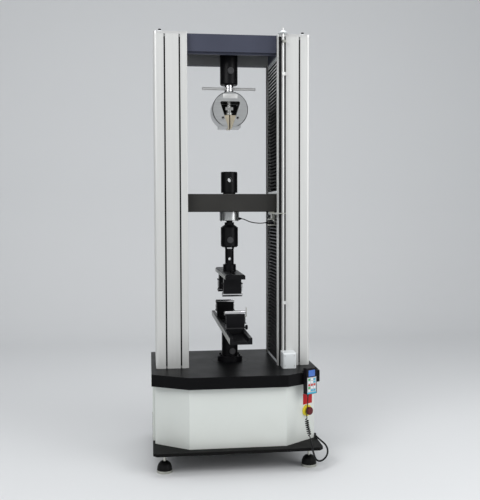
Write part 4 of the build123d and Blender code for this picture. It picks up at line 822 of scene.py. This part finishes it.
# Bare sign plate above the stop button, on the cabinet's cut corner
C_ALONG, C_OUT = corner(163, 117)
SIGN_AT = Vector((237, -380, 325)) + C_ALONG * 151 + C_OUT * 0.5
boxes("bare_sign_plate", [((66, 54, 1.0), facing(SIGN_AT, C_OUT), 0.3)],
      "sign", "frame")

# Back of the cabinet: supply inlet, fuse, sockets and fan guard
SOCKETS = [((50, 30, 5), facing((-300, 267, 180), REAR), 1.5),
           ((28, 20, 7), facing((-230, 267, 180), REAR), 1.5)]
SOCKETS += [((34, 14, 6), facing((270, 267, 180 + 34 * i), REAR), 2) for i in range(3)]
boxes("rear_sockets", SOCKETS, "plastic", "frame")
FAN_X, FAN_Y, FAN_Z, FAN_STEPS = 300, 269, 340, 40


def fan_guard():
    bm = bmesh.new()
    turns = [2 * math.pi * i / FAN_STEPS for i in range(FAN_STEPS + 1)]
    for r in (14, 26, 38, 50):
        ring = [Vector((FAN_X + r * math.cos(a), FAN_Y + 1, FAN_Z + r * math.sin(a)))
                for a in turns]
        add_tube(bm, ring, 1.4, WIRE_SIDES)
    for a in (0.785, 2.356):
        reach = Vector((math.cos(a), 0, math.sin(a))) * 52
        middle = Vector((FAN_X, FAN_Y, FAN_Z))
        add_tube(bm, [middle - reach, middle + reach], 1.6, WIRE_SIDES)
    finish_mesh("rear_fan_guard", bm, "chrome", "frame")


fan_guard()

# Stage and light, in metres: a pale floor that curves up into a wall, three soft lamps
FLOOR_HALF, WALL_TOP, SWEEP_FROM, SWEEP_R, SWEEP_STEPS = 9.0, 9.0, 3.2, 1.5, 12
FLOOR_LOW, FLOOR_HIGH, FLOOR_ROUGH = (0.70, 0.71, 0.72, 1), (0.74, 0.75, 0.76, 1), 0.7
LAMPS = (("key", (-2.6, -3.2, 3.6), (0, 0, 1.1), (2.2, 2.2), 84),
         ("fill", (3.2, -2.6, 2.2), (0, 0, 1.0), (2.5, 2.5), 76),
         ("over", (0.0, -0.3, 4.6), (0, 0, 0.5), (3.0, 2.5), 60))
SKY, SKY_STRENGTH = (0.86, 0.88, 0.90, 1), 0.55


def stage():
    mat = bpy.data.materials.new("floor_paint")
    mat.use_nodes = True
    nt = mat.node_tree
    shader = nt.nodes["Principled BSDF"]
    noise = nt.nodes.new("ShaderNodeTexNoise")
    socket(noise, "Scale", 3.0)
    tint = add_mix(nt, noise.outputs["Fac"], FLOOR_LOW, FLOOR_HIGH)
    nt.links.new(tint, shader.inputs["Base Color"])
    socket(shader, "Roughness", FLOOR_ROUGH)
    profile = [(-FLOOR_HALF, 0.0), (SWEEP_FROM, 0.0)]
    for i in range(1, SWEEP_STEPS + 1):
        a = math.radians(90 * i / SWEEP_STEPS)
        profile.append((SWEEP_FROM + SWEEP_R * math.sin(a), SWEEP_R - SWEEP_R * math.cos(a)))
    profile.append((SWEEP_FROM + SWEEP_R, WALL_TOP))
    bm = bmesh.new()
    rows = [[bm.verts.new((x, y, z)) for x in (-FLOOR_HALF, FLOOR_HALF)] for y, z in profile]
    for a, b in zip(rows, rows[1:]):
        bm.faces.new((a[0], a[1], b[1], b[0]))
    mesh = bpy.data.meshes.new("floor")
    bm.to_mesh(mesh)
    bm.free()
    mesh.materials.append(mat)
    mesh.shade_smooth()
    obj = bpy.data.objects.new("floor", mesh)
    scene.collection.objects.link(obj)


def add_lamp(name, place, target, size, power):
    data = bpy.data.lights.new(name, "AREA")
    data.shape = "RECTANGLE"
    data.size, data.size_y = size
    data.energy = power
    lamp = bpy.data.objects.new(name, data)
    lamp.location = place
    lamp.rotation_mode = "QUATERNION"
    lamp.rotation_quaternion = (Vector(target) - Vector(place)).to_track_quat("-Z", "Y")
    scene.collection.objects.link(lamp)


stage()
for lamp in LAMPS:
    add_lamp(*lamp)
world = bpy.data.worlds.new("studio")
scene.world = world
world.use_nodes = True
socket(world.node_tree.nodes["Background"], "Color", SKY)
socket(world.node_tree.nodes["Background"], "Strength", SKY_STRENGTH)
